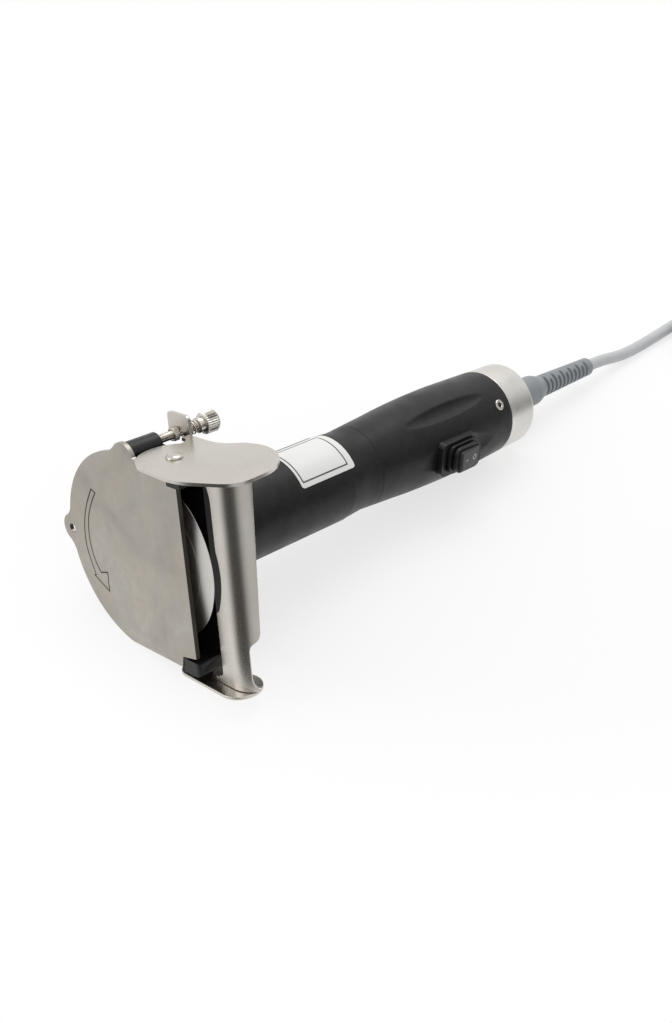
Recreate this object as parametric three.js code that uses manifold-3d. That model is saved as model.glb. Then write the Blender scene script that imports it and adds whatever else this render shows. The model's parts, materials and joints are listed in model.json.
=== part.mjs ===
// Electric kebab slicer: a round blade behind a guard plate, driven straight by a motor in the handle.
// Millimetres, +Z up. The tool is drawn on its own axes and then laid down on the table:
// Y runs along the handle from the guard to the lead, X points to the open side of the blade
// and Z to the side of the thumb screw.
import * as THREE from 'three';
import { mergeVertices } from 'three/addons/utils/BufferGeometryUtils.js';
import Module from 'manifold-3d';

const wasm = await Module();
wasm.setup();

// Clearances
const FIT = 0.3;
const TAB_PLAY = 0.6;

// Rest pose on the table, in degrees
const REST_ROLL = -15.34;
const REST_PITCH = -6.78;

// Round blade and its spindle
const BLADE_R = 40;
const BLADE_SHOWN = 11.15;
const BLADE_THICK = 1.6;
const BLADE_GAP = 3.2;
const BEVEL_WIDTH = 7.5;
const EDGE_THICK = 0.3;
const BLADE_NUT_R = 8;
const BLADE_NUT_THICK = 2.2;
const SPINDLE_R = 5;
const SPINDLE_FLANGE_R = 13;
const SPINDLE_FLANGE = 2.5;

// Guard plate: x and z of its outline, seen from the front
const GUARD_THICK = 2;
const GUARD_MARGIN = 8;
const GUARD_R = BLADE_R + GUARD_MARGIN;
const HEAD_X = -8.5;
const HEAD_Z = -1.5;
const GUARD_TOP_Z = HEAD_Z + GUARD_R;
const GUARD_LOW_Z = HEAD_Z - GUARD_R;
const EDGE_TOP_DROP = 7.3;
const EDGE_LOW_RISE = 8.6;
const FLAT_RISE = 1;
const GUARD_EDGE_X = BLADE_R - BLADE_SHOWN;
const GUARD_EDGE_TOP = GUARD_TOP_Z - EDGE_TOP_DROP;
const GUARD_EDGE_LOW = GUARD_LOW_Z + EDGE_LOW_RISE;
const GUARD_FLAT_Z = GUARD_LOW_Z + FLAT_RISE;
const HANG_INSET = 0.7;
const HANG_X = HEAD_X - GUARD_R + HANG_INSET;
const HANG_R = 6.8;
const HANG_HOLE_R = 2.3;
const BUMP_MARGIN = 0.5;

// Head housing
const HOUSING_INSET = 2;
const HOUSING_BACK_Y = 24;
const HOUSING_LIP = 2.15;
const HOUSING_X = GUARD_EDGE_X + HOUSING_LIP;
const HOUSING_CHAMFER = 2;
const CAVITY_BACK_Y = 12;
const RIM_WALL = 3;
const BLADE_ROOM = 2.8;
const EAR_TOP_WIDTH = 8.3;
const EAR_LOW_WIDTH = 11.4;
const EAR_TOP_X = HOUSING_X - EAR_TOP_WIDTH;
const EAR_LOW_X = HOUSING_X - EAR_LOW_WIDTH;
const EAR_RISE = 6;
const EAR_DROP = 7;
const EAR_LOW_GAP = 2.3;
const EAR_LOW_TOP = GUARD_EDGE_LOW - EAR_LOW_GAP;
const SHOULDER_X = 8;
const PIVOT_BOSS_DROP = 3.2;
const PIVOT_BOSS_R = 6;
const NECK_R = 25;
const NECK_CONE_R = 30;
const NECK_CONE_END_Y = 40;
const NECK_END_Y = 44;
const SOCKET_Y = 36;

// Screws that hold the guard from behind
const GUARD_SCREW_R = 1.8;
const GUARD_SCREW_HEAD_R = 3.4;
const GUARD_SCREW_HEAD = 2.5;
const GUARD_BUSH_R = 3;
const GUARD_BUSH = 4;
const GUARD_BOSS_R = 4.3;
const GUARD_SCREW_INSET = 5.5;
const GUARD_SCREW_CIRCLE = GUARD_R - GUARD_SCREW_INSET;
const GUARD_SCREW_ANGLES = [120, 180, 240];
const GUARD_SCREW_SINK = 3.7;

// Spindle bearings
const BEARING_R = 13;
const BEARING_LAND_R = 10.5;
const BEARING_LAND_Y = 20.6;
const BEARING_LAND = 6.4;
const FRONT_BEARING = 6.5;
const REAR_BEARING = 7;
const CIRCLIP = 1.3;
const CIRCLIP_IN_R = 9.5;

// Thumb screw
const ADJUST_X = -6.5;
const ADJUST_RISE = 0.7;
const ADJUST_Z = GUARD_TOP_Z + ADJUST_RISE;
const BOSS_R = 5.3;
const BOSS_END_Y = 20.6;
const SCREW_R = 2;
const SCREW_TIP_Y = 9;
const SCREW_TRAVEL = 2.2;
const NUT_FLATS = 7;
const NUT_LENGTH = 3.2;
const SPRING_R = 2.85;
const WIRE_R = 0.4;
const SPRING_CURLS = 4;
const SPRING_LENGTH = 8;
const SPRING_EASE = 0.1;
const COLLAR_R = 3.6;
const COLLAR_LENGTH = 3;
const KNOB_R = 5;
const KNOB_LENGTH = 7.3;
const KNURL_COUNT = 20;
const KNURL_DEPTH = 0.45;

// Depth guide, bent and welded from sheet
const SHEET = 1.5;
const PIVOT_INSET = 14.3;
const PIVOT_X = HOUSING_X - PIVOT_INSET;
const PIVOT_Y = 9.9;
const RIVET_R = 2.2;
const RIVET_HEAD_R = 3.8;
const RIVET_HEAD = 1.6;
const RIVET_DEPTH = 9;
const TOP_END_R = 16.5;
const TOP_LOBE_INSET = 5.9;
const TOP_LOBE_Y = 16.8;
const TOP_LOBE_R = 23.8;
const TAB_Y = 30;
const TAB_LEFT_X = -12.7;
const TAB_RIGHT_X = 2;
const TAB_HEIGHT = 9;
const TAB_SLOT = 1.95;
const STRIP_DEPTH = 4.5;
const STRIP_LEFT_X = 0;
const LOW_END_R = 8;
const LOW_LOBE_INSET = 0.5;
const LOW_LOBE_Y = 11.5;
const LOW_LOBE_R = 10;
const VANE_FRONT_Y = 7.3;
const VANE_BEND_R = 12.5;
const VANE_BLADE_ROOM = 2.3;
const VANE_EDGE_SET = 1.6;
const VANE_LOW_SET = 5.3;
const VANE_FOOT_GAP = 0.8;
const VANE_FLAT = 2.8;
const VANE_NECK_TOP = 27;
const VANE_NECK_LOW = 8;
const VANE_EDGE_X = BLADE_R + VANE_BLADE_ROOM - VANE_EDGE_SET;
const VANE_LOW_X = BLADE_R + VANE_BLADE_ROOM - VANE_LOW_SET;
const VANE_FOOT_X = HOUSING_X + VANE_FOOT_GAP;
const VANE_BEND_X = VANE_EDGE_X + VANE_FLAT;
const TOP_LOBE_X = VANE_BEND_X - TOP_LOBE_INSET;
const LOW_LOBE_X = VANE_BEND_X - LOW_LOBE_INSET;

// Motor tube and what it holds
const TUBE_R = 21.8;
const TUBE_WALL = 2.2;
const TUBE_TAIL = 8;
const COUPLING_R = 8.5;
const COUPLING_Y = 38;
const COUPLING_LENGTH = 14;
const COUPLING_JOINT_Y = 46;
const SHAFT_R = 4;
const BRACKET_DISC = 3;
const BRACKET_BOSS_WALL = 2.2;
const FRONT_BRACKET_Y = 53;
const FRONT_BRACKET_LENGTH = 7;
const REAR_BRACKET_GAP = 0.5;
const REAR_BRACKET_LENGTH = 7;
const BRACKET_LIP = 1.2;
const MOTOR_BEARING_R = 8;
const MOTOR_BEARING = 5;
const STACK_Y = 65;
const STACK_LENGTH = 24;
const ARMATURE_R = 11.6;
const AIR_GAP = 0.6;
const ARMATURE_SLOTS = 12;
const SLOT_DEPTH = 3;
const COIL_IN_R = 12.8;
const COIL_OUT_R = 16.2;
const COIL_HALF_ANGLE = 30;
const COIL_OVERHANG = 3.4;
const WINDING_R = 10.4;
const WINDING_LENGTH = 4;
const COMMUTATOR_R = 7;
const COMMUTATOR_BARS = 16;
const COMMUTATOR_LENGTH = 6.9;
const COMMUTATOR_Y = STACK_Y + STACK_LENGTH + WINDING_LENGTH + 2 * FIT;
const REAR_BRACKET_Y = COMMUTATOR_Y + COMMUTATOR_LENGTH + REAR_BRACKET_GAP;
const TUBE_END_Y = REAR_BRACKET_Y + TUBE_TAIL;
const BRUSH_WIDTH = 4;
const BRUSH_LENGTH = 7.5;
const HOLDER_WIDTH = 7;
const WIRE_LEAD_R = 1.1;
const WIRE_CIRCLE = 14.5;
const WIRE_STRAIGHT = 20;

// Grip
const GRIP_COLLAR_LENGTH = 21;
const GRIP_COLLAR_END_Y = TUBE_END_Y + GRIP_COLLAR_LENGTH;
const GRIP_COLLAR_FRONT_R = 21.6;
const GRIP_COLLAR_END_R = 21.25;
const GRIP_WAIST_R = 20.8;
const GRIP_WAIST_BACK = 7;
const GRIP_COLLAR_WALL = 4;
const GRIP_SPIGOT = 8;
const GRIP_SPIGOT_R = 18;
const GRIP_WALL = 2.9;
const GRIP_END_Y = 230;
const GRIP_END_R = 23.3;
const GRIP_SHAPE = [[0.08, 21.8], [0.16, 22.3], [0.28, 23.2], [0.39, 23.8], [0.52, 24.2], [0.66, 24.3], [0.82, 23.9]];
const SCOOP_Y = 185;
const SCOOP_HALF = 34;
const SCOOP_WIDTH = 8.5;
const SCOOP_ROUND = 4;
const SCOOP_DEPTH = 1.7;
const SCOOP_SPREAD = 60;

// Rocker switch, on the side of the open blade
const SWITCH_Y = 183;
const SWITCH_ANGLE = -8;
const SEAT_X = 22.4;
const BEZEL_LENGTH = 26;
const BEZEL_WIDTH = 20;
const BEZEL_RISE = 7;
const BEZEL_STEP = 2.2;
const BEZEL_CORNER = 3;
const SWITCH_LENGTH = 19;
const SWITCH_WIDTH = 13.6;
const SWITCH_DEPTH = 16;
const BOOT_LENGTH = 20;
const BOOT_WIDTH = 15;
const BOOT_RISE = 3.6;
const ROCKER_LENGTH = 14;
const ROCKER_WIDTH = 10.4;
const ROCKER_HEIGHT = 6.4;
const ROCKER_PIVOT = 1.8;
const ROCKER_ROOM = 0.7;
const ROCKER_TILT = 6;

// End cap, strain relief and the lead's inner end
const CAP_END_Y = 251;
const CAP_END_R = 22.8;
const CAP_ROUND = 2.5;
const CAP_WALL = 4.5;
const CAP_NECK_Y = 271;
const CAP_NECK_R = 12.5;
const CAP_NECK_TIP_R = 9.4;
const CAP_NECK_WALL = 4.5;
const CAP_IN_R = 17.5;
const CAP_SPIGOT = 16;
const CAP_SCREW_Y = 222;
const CAP_SCREW_ANGLES = [28, 208];
const CAP_SCREW_HEAD_R = 2.5;
const CAP_SCREW_HEAD = 1.6;
const CAP_SCREW_R = 1.5;
const TERMINAL_DISC = 4.7;
const TERMINAL_BLOCK = 5;
const TERMINAL_WIDTH = 26;
const TERMINAL_HEIGHT = 14;
const CLAMP_Y = 234;
const CLAMP_LENGTH = 8;
const CLAMP_HEIGHT = 10;
const RELIEF_END_Y = 332.5;
const RELIEF_NECK_R = 6;
const RELIEF_FLANGE_R = 7.6;
const RELIEF_FLANGE = 3;
const RELIEF_BASE_R = 8.25;
const RELIEF_BASE = 18;
const RELIEF_SLEEVE_Y = 294;
const RELIEF_SLEEVE_R = 6.6;
const RELIEF_TIP_R = 5.4;
const RELIEF_RIBS = 9;
const RELIEF_TIP = 5;
const RIB_DEPTH = 1;
const LEAD_R = 3.25;

// Lead on the table: the points of its free stretch, then a coil in two layers, its tie and the plug
const LEAD_ROUTE = [
  [-3.25, 168.13, 12.67], [-3.25, 174, 11.97], [-3.25, 180, 11.05], [-3.25, 186, 9.85], [-3.25, 192, 8.45],
  [-3.25, 198, 7], [-3.25, 204, 5.75], [-3.25, 211, 4.7], [-3.25, 219, 4.05], [-3.25, 228, 3.75],
  [-3.25, 238, 3.75], [-3.25, 249, 4], [-3.25, 260, 4.3], [-3.25, 271, 4.5], [-3.25, 277.5, 4.5], [-3.25, 284, 4.5],
];
const LOOP_IN_R = 26;
const LOOP_PITCH = 7.1;
const LOOP_LAYER = 7.1;
const LOOPS_PER_LAYER = 3.625;
const LOOP_SOFTNESS = 0.1;
const LOOP_CLIMB = 0.5;
const TAIL = 38;
const TAIL_LEVEL = 12;
const TIE_WIDTH = 10;
const TIE_THICK = 0.8;
const PLUG_LENGTH = 37;
const PLUG_WIDTH = 34;
const PLUG_BACK = 12;
const PLUG_THICK = 13.7;
const PIN_R = 2;
const PIN_LENGTH = 19;
const PIN_SPACING = 19;

// Resolution of round shapes
const SIDES = 28;
const SMALL_SIDES = 16;
const TINY_SIDES = 10;
const ARC_STEPS = 10;
const MERGE = 1e-4;

// Places that follow from the sizes above
const bladeFrontY = GUARD_THICK + BLADE_GAP;
const bladeBackY = bladeFrontY + BLADE_THICK;
const housingR = GUARD_R - HOUSING_INSET;
const housingFrontY = GUARD_THICK + FIT;
const earTopLow = GUARD_EDGE_TOP + FIT;
const earTopHigh = earTopLow + EAR_RISE;
const earLowLow = EAR_LOW_TOP - EAR_DROP;
const topPlateZ = earTopHigh + FIT;
const lowPlateZ = earLowLow - PIVOT_BOSS_DROP - FIT;
const screwBoreY = SCREW_TIP_Y - SCREW_TRAVEL - 2 * FIT;
const tubeInR = TUBE_R - TUBE_WALL;
const tubeFrontY = SOCKET_Y + FIT;
const collarInR = GRIP_WAIST_R - GRIP_COLLAR_WALL;
const gripFrontY = GRIP_COLLAR_END_Y + FIT;
const gripBackY = GRIP_END_Y - FIT;
const gripOutline = GRIP_SHAPE.map(([share, r]) => [gripFrontY + share * (gripBackY - gripFrontY), r]);
const capSpigotR = GRIP_END_R - GRIP_WALL - FIT;
const capFrontY = GRIP_END_Y - CAP_SPIGOT;
const leadBoreR = LEAD_R + FIT;
const neckBoreR = RELIEF_FLANGE_R + FIT;
const stackEndY = STACK_Y + STACK_LENGTH;
const terminalBackY = capFrontY - FIT;
const terminalDiscY = terminalBackY - TERMINAL_DISC;
const terminalFrontY = terminalDiscY - TERMINAL_BLOCK;
const bezelTop = SEAT_X + FIT + BEZEL_RISE;
const rockerBottom = bezelTop;

// Finishes
const STEEL = { color: 0xa8a49c, roughness: 0.35, metalness: 1 };
const BRIGHT = { color: 0xc8c5be, roughness: 0.25, metalness: 1 };
const BLACK = { color: 0x2b2b2c, roughness: 0.6, metalness: 0 };
const RUBBER = { color: 0x161616, roughness: 0.5, metalness: 0 };
const ALUMINIUM = { color: 0xc9cac8, roughness: 0.3, metalness: 1 };
const GREY = { color: 0x8f959c, roughness: 0.6, metalness: 0 };
const COPPER = { color: 0xb87347, roughness: 0.4, metalness: 1 };
const CARBON = { color: 0x2a2a2c, roughness: 0.8, metalness: 0 };
const IRON = { color: 0x63656a, roughness: 0.5, metalness: 1 };
const MOULDED = { color: 0xd8d2c2, roughness: 0.6, metalness: 0 };

// Turns a closed geometry into a solid, with its shared vertices merged and its faces pointing out
function solidOf(geometry) {
  const bare = geometry.clone();
  bare.deleteAttribute('normal');
  bare.deleteAttribute('uv');
  const merged = mergeVertices(bare, MERGE);
  const points = merged.attributes.position.array;
  const index = merged.index.array;
  const triangles = [];
  const corners = [new THREE.Vector3(), new THREE.Vector3(), new THREE.Vector3()];
  let volume = 0;
  for (let i = 0; i < index.length; i += 3) {
    const face = [index[i], index[i + 1], index[i + 2]];
    if (new Set(face).size < 3) {
      continue;
    }
    triangles.push(face);
    corners.forEach((corner, k) => corner.fromArray(points, 3 * face[k]));
    volume += corners[0].dot(corners[1].clone().cross(corners[2]));
  }
  const outward = volume > 0 ? triangles : triangles.map(([a, b, c]) => [a, c, b]);
  const mesh = new wasm.Mesh({
    numProp: 3,
    vertProperties: Float32Array.from(points),
    triVerts: Uint32Array.from(outward.flat()),
  });
  return new wasm.Manifold(mesh);
}

// Gives a solid back as a drawable geometry
function geometryOf(solid) {
  const mesh = solid.getMesh();
  const geometry = new THREE.BufferGeometry();
  geometry.setAttribute('position', new THREE.BufferAttribute(mesh.vertProperties, 3));
  geometry.setIndex(new THREE.BufferAttribute(mesh.triVerts, 1));
  geometry.computeVertexNormals();
  return geometry;
}

function addPiece(group, name, solid, finish) {
  const piece = new THREE.Mesh(geometryOf(solid), new THREE.MeshStandardMaterial(finish));
  piece.name = name;
  group.add(piece);
  return piece;
}

const radians = THREE.MathUtils.degToRad;

// A revolved solid about Y from [radius, y] points; the profile closes on itself
function turned(profile, sides = SIDES) {
  const points = [...profile, profile[0]].map(([r, y]) => new THREE.Vector2(r, y));
  return solidOf(new THREE.LatheGeometry(points, sides));
}

// A straight ring or disc about Y
function ring(innerR, outerR, low, high, sides = SIDES) {
  return turned([[innerR, low], [outerR, low], [outerR, high], [innerR, high]], sides);
}

function block(low, high) {
  const size = high.map((value, k) => value - low[k]);
  const middle = high.map((value, k) => (value + low[k]) / 2);
  return solidOf(new THREE.BoxGeometry(...size).translate(...middle));
}

// A flat outline pulled along one axis: its plane is xz for Y, xy for Z and yz for X
function slab(shape, axis, low, high, curveSegments = ARC_STEPS) {
  const geometry = new THREE.ExtrudeGeometry(shape, { depth: high - low, bevelEnabled: false, curveSegments });
  if (axis === 'Y') {
    geometry.rotateX(Math.PI / 2).translate(0, high, 0);
  } else if (axis === 'X') {
    const unit = [new THREE.Vector3(1, 0, 0), new THREE.Vector3(0, 1, 0), new THREE.Vector3(0, 0, 1)];
    geometry.applyMatrix4(new THREE.Matrix4().makeBasis(unit[1], unit[2], unit[0])).translate(low, 0, 0);
  } else {
    geometry.translate(0, 0, low);
  }
  return solidOf(geometry);
}

// A round bar along an axis, through the two other coordinates in xyz order
function rod(axis, radius, low, high, [u, v], sides = SMALL_SIDES) {
  const geometry = new THREE.CylinderGeometry(radius, radius, high - low, sides);
  const middle = (low + high) / 2;
  if (axis === 'X') {
    geometry.rotateZ(-Math.PI / 2).translate(middle, u, v);
  } else if (axis === 'Z') {
    geometry.rotateX(Math.PI / 2).translate(u, v, middle);
  } else {
    geometry.translate(u, middle, v);
  }
  return solidOf(geometry);
}

function polygon(points) {
  return new THREE.Shape(points.map(([x, y]) => new THREE.Vector2(x, y)));
}

function roundPolygon(radius, sides) {
  const corner = (k) => [radius * Math.cos((2 * Math.PI * k) / sides), radius * Math.sin((2 * Math.PI * k) / sides)];
  return polygon(Array.from({ length: sides }, (_, k) => corner(k)));
}

function chamferedBox(length, width, corner) {
  const [a, b] = [length / 2, width / 2];
  const [c, d] = [a - corner, b - corner];
  return polygon([[a, d], [c, b], [-c, b], [-a, d], [-a, -d], [-c, -b], [c, -b], [a, -d]]);
}

// A round tube swept along a curve
function sweep(curve, radius, sides, steps) {
  curve.arcLengthDivisions = 8 * steps;
  const options = { steps, bevelEnabled: false, extrudePath: curve };
  return solidOf(new THREE.ExtrudeGeometry(roundPolygon(radius, sides), options));
}

function aboutY(solid, degrees) {
  return solid.rotate([0, -degrees, 0]);
}

function onCircle(x, z, radius, degrees) {
  return [x + radius * Math.cos(radians(degrees)), z + radius * Math.sin(radians(degrees))];
}

// Direction of the outward normal of the tangent that two circles share, on the side of lower y
function tangentAngle(x1, y1, r1, x2, y2, r2) {
  const along = Math.atan2(y2 - y1, x2 - x1);
  const lean = Math.acos((r1 - r2) / Math.hypot(x2 - x1, y2 - y1));
  return [along - lean, along + lean];
}

// Guard plate

function guardOutline() {
  const shape = new THREE.Shape();
  const bumpR = BOSS_R + BUMP_MARGIN;
  const notchX = EAR_TOP_X - FIT;
  const shoulderZ = earTopHigh - FIT;
  const arc = (x, z, r, from, to) => shape.absarc(x, z, r, radians(from), radians(to), false);
  const flatAngle = 360 - THREE.MathUtils.radToDeg(Math.acos((GUARD_FLAT_Z - HEAD_Z) / -GUARD_R)) - 90;
  shape.moveTo(GUARD_EDGE_X, GUARD_EDGE_LOW);
  shape.lineTo(GUARD_EDGE_X, GUARD_EDGE_TOP);
  shape.lineTo(notchX, GUARD_EDGE_TOP);
  shape.lineTo(notchX, GUARD_EDGE_TOP + GUARD_THICK);
  shape.lineTo(ADJUST_X + 2 * bumpR, shoulderZ);
  const [rightX, rightZ] = onCircle(ADJUST_X, ADJUST_Z, bumpR, 15);
  shape.quadraticCurveTo(ADJUST_X + 1.15 * bumpR, shoulderZ, rightX, rightZ);
  arc(ADJUST_X, ADJUST_Z, bumpR, 15, 165);
  const [leftX, leftZ] = onCircle(HEAD_X, HEAD_Z, GUARD_R, 101);
  shape.quadraticCurveTo(ADJUST_X - 1.15 * bumpR, ADJUST_Z - 0.15 * bumpR, leftX, leftZ);
  arc(HEAD_X, HEAD_Z, GUARD_R, 101, 168);
  const [upX, upZ] = onCircle(HANG_X, HEAD_Z, HANG_R, 125);
  shape.quadraticCurveTo(HANG_X - 0.2 * HANG_R, HEAD_Z + HANG_R, upX, upZ);
  arc(HANG_X, HEAD_Z, HANG_R, 125, 235);
  const [downX, downZ] = onCircle(HEAD_X, HEAD_Z, GUARD_R, 193);
  shape.quadraticCurveTo(HANG_X - 0.2 * HANG_R, HEAD_Z - HANG_R, downX, downZ);
  arc(HEAD_X, HEAD_Z, GUARD_R, 193, flatAngle);
  shape.lineTo(EAR_LOW_X - 5 * FIT, GUARD_FLAT_Z);
  shape.lineTo(EAR_LOW_X - FIT, EAR_LOW_TOP + FIT);
  const hole = new THREE.Path();
  hole.absarc(HANG_X, HEAD_Z, HANG_HOLE_R, 0, 2 * Math.PI, true);
  shape.holes.push(hole);
  return shape;
}

function guardScrewPlaces() {
  return GUARD_SCREW_ANGLES.map((angle) => onCircle(HEAD_X, HEAD_Z, GUARD_SCREW_CIRCLE, angle));
}

function makeGuard() {
  let plate = slab(guardOutline(), 'Y', 0, GUARD_THICK);
  for (const place of guardScrewPlaces()) {
    const bush = rod('Y', GUARD_BUSH_R, GUARD_THICK / 2, GUARD_THICK + GUARD_BUSH, place, TINY_SIDES);
    const thread = rod('Y', GUARD_SCREW_R + FIT, GUARD_THICK, GUARD_THICK + GUARD_BUSH + 1, place, TINY_SIDES);
    plate = plate.add(bush).subtract(thread);
  }
  return plate;
}

function makeGuardScrew(place) {
  const headY = HOUSING_BACK_Y - GUARD_SCREW_SINK + FIT;
  const shank = rod('Y', GUARD_SCREW_R, GUARD_THICK + FIT, headY + 1, place, TINY_SIDES);
  return shank.add(rod('Y', GUARD_SCREW_HEAD_R, headY, headY + GUARD_SCREW_HEAD, place, TINY_SIDES));
}

// Head housing

function housingOutline() {
  const shape = new THREE.Shape();
  const [upX, upZ] = onCircle(HEAD_X, HEAD_Z, housingR, 80);
  shape.moveTo(HOUSING_X, earLowLow);
  shape.lineTo(HOUSING_X, earTopHigh);
  shape.lineTo(SHOULDER_X, earTopHigh);
  shape.lineTo(upX, upZ);
  shape.absarc(HEAD_X, HEAD_Z, housingR, radians(80), radians(280), false);
  shape.lineTo(SHOULDER_X, earLowLow);
  return shape;
}

function housingBlock() {
  const options = {
    depth: HOUSING_BACK_Y - HOUSING_CHAMFER,
    bevelThickness: HOUSING_CHAMFER,
    bevelSize: HOUSING_CHAMFER,
    bevelOffset: -HOUSING_CHAMFER,
    bevelSegments: 1,
    curveSegments: 2 * ARC_STEPS,
  };
  const geometry = new THREE.ExtrudeGeometry(housingOutline(), options);
  geometry.rotateX(Math.PI / 2).translate(0, HOUSING_BACK_Y - HOUSING_CHAMFER, 0);
  const far = 4 * GUARD_R;
  return solidOf(geometry).subtract(block([-far, -far, -far], [far, housingFrontY, far]));
}

function housingCavity() {
  const front = housingFrontY - 1;
  const round = rod('Y', housingR - RIM_WALL, front, CAVITY_BACK_Y, [HEAD_X, HEAD_Z], SIDES);
  const swept = rod('Y', BLADE_R + BLADE_ROOM, front, CAVITY_BACK_Y, [0, 0], SIDES);
  const mouth = block([0, front, EAR_LOW_TOP], [HOUSING_X + 1, CAVITY_BACK_Y, earTopLow]);
  let cavity = round.add(swept).add(mouth);
  for (const place of guardScrewPlaces()) {
    cavity = cavity.subtract(rod('Y', GUARD_BOSS_R, front - 1, CAVITY_BACK_Y + 1, place, TINY_SIDES));
  }
  return cavity;
}

function makeHousing() {
  const ears = [
    block([EAR_TOP_X, 0, earTopLow], [HOUSING_X, CAVITY_BACK_Y, earTopHigh]),
    block([EAR_LOW_X, 0, earLowLow], [HOUSING_X, CAVITY_BACK_Y, EAR_LOW_TOP]),
  ];
  const pivotBoss = rod('Z', PIVOT_BOSS_R, earLowLow - PIVOT_BOSS_DROP, earLowLow + 1, [PIVOT_X, PIVOT_Y]);
  const boss = rod('Y', BOSS_R, housingFrontY, BOSS_END_Y, [ADJUST_X, ADJUST_Z], SIDES);
  const webLow = HEAD_Z + housingR - RIM_WALL;
  const web = block([ADJUST_X - BOSS_R, housingFrontY, webLow], [ADJUST_X + BOSS_R, BOSS_END_Y, ADJUST_Z]);
  const neck = turned([
    [0, HOUSING_BACK_Y - 1], [NECK_CONE_R, HOUSING_BACK_Y - 1], [NECK_CONE_R, HOUSING_BACK_Y],
    [NECK_R, NECK_CONE_END_Y], [NECK_R, NECK_END_Y], [0, NECK_END_Y],
  ]);
  let housing = housingBlock().add(boss).add(web).subtract(housingCavity());
  housing = housing.add(ears[0]).add(ears[1]).add(pivotBoss).add(neck);
  const landEnd = BEARING_LAND_Y + BEARING_LAND;
  const pocketR = BEARING_R + FIT;
  const bore = turned([
    [0, CAVITY_BACK_Y - 1], [pocketR, CAVITY_BACK_Y - 1], [pocketR, BEARING_LAND_Y], [BEARING_LAND_R, BEARING_LAND_Y],
    [BEARING_LAND_R, landEnd], [pocketR, landEnd], [pocketR, SOCKET_Y], [TUBE_R + FIT, SOCKET_Y],
    [TUBE_R + FIT, NECK_END_Y + 1], [0, NECK_END_Y + 1],
  ]);
  housing = housing.subtract(bore);
  housing = housing.subtract(rod('Y', SCREW_R + FIT, screwBoreY, BOSS_END_Y + 1, [ADJUST_X, ADJUST_Z]));
  const rivetBore = (low, high) => rod('Z', RIVET_R + FIT, low, high, [PIVOT_X, PIVOT_Y]);
  housing = housing.subtract(rivetBore(earTopHigh - RIVET_DEPTH, earTopHigh + 1));
  housing = housing.subtract(rivetBore(lowPlateZ, lowPlateZ + PIVOT_BOSS_DROP + RIVET_DEPTH));
  for (const place of guardScrewPlaces()) {
    const sinkY = HOUSING_BACK_Y - GUARD_SCREW_SINK;
    const bushEnd = GUARD_THICK + GUARD_BUSH + FIT;
    housing = housing.subtract(rod('Y', GUARD_SCREW_R + FIT, 0, HOUSING_BACK_Y, place, TINY_SIDES));
    housing = housing.subtract(rod('Y', GUARD_SCREW_HEAD_R + FIT, sinkY, HOUSING_BACK_Y + 1, place, TINY_SIDES));
    housing = housing.subtract(rod('Y', GUARD_BUSH_R + FIT, 0, bushEnd, place, TINY_SIDES));
  }
  return housing;
}

// Blade and spindle

function makeBlade() {
  const boreR = SPINDLE_R + FIT;
  return turned([
    [boreR, bladeFrontY], [BLADE_R - BEVEL_WIDTH, bladeFrontY], [BLADE_R, bladeBackY - EDGE_THICK],
    [BLADE_R, bladeBackY], [boreR, bladeBackY],
  ], 2 * SIDES);
}

function makeBladeNut() {
  const back = bladeFrontY - FIT;
  return ring(SPINDLE_R + FIT, BLADE_NUT_R, back - BLADE_NUT_THICK, back, SMALL_SIDES);
}

function makeSpindle() {
  const front = bladeFrontY - FIT - BLADE_NUT_THICK;
  const flangeY = bladeBackY + FIT;
  const flangeEnd = flangeY + SPINDLE_FLANGE;
  const end = COUPLING_JOINT_Y - FIT;
  return turned([
    [0, front], [SPINDLE_R, front], [SPINDLE_R, flangeY], [SPINDLE_FLANGE_R, flangeY],
    [SPINDLE_FLANGE_R, flangeEnd], [SPINDLE_R, flangeEnd], [SPINDLE_R, end], [0, end],
  ], SMALL_SIDES);
}

// A ball bearing as one ring with a groove in its front face
function makeBearing(shaftR, outerR, low, length) {
  const bore = shaftR + FIT;
  const [a, b] = [bore + 0.3 * (outerR - bore), bore + 0.7 * (outerR - bore)];
  const groove = 0.1 * length;
  const high = low + length;
  return turned([
    [bore, low], [a, low], [a, low + groove], [b, low + groove], [b, low],
    [outerR, low], [outerR, high], [bore, high],
  ], SMALL_SIDES);
}

function makeCoupling() {
  const end = COUPLING_Y + COUPLING_LENGTH;
  return turned([
    [SPINDLE_R + FIT, COUPLING_Y], [COUPLING_R, COUPLING_Y], [COUPLING_R, end], [SHAFT_R + FIT, end],
    [SHAFT_R + FIT, COUPLING_JOINT_Y], [SPINDLE_R + FIT, COUPLING_JOINT_Y],
  ], SMALL_SIDES);
}

// Depth guide

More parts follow.
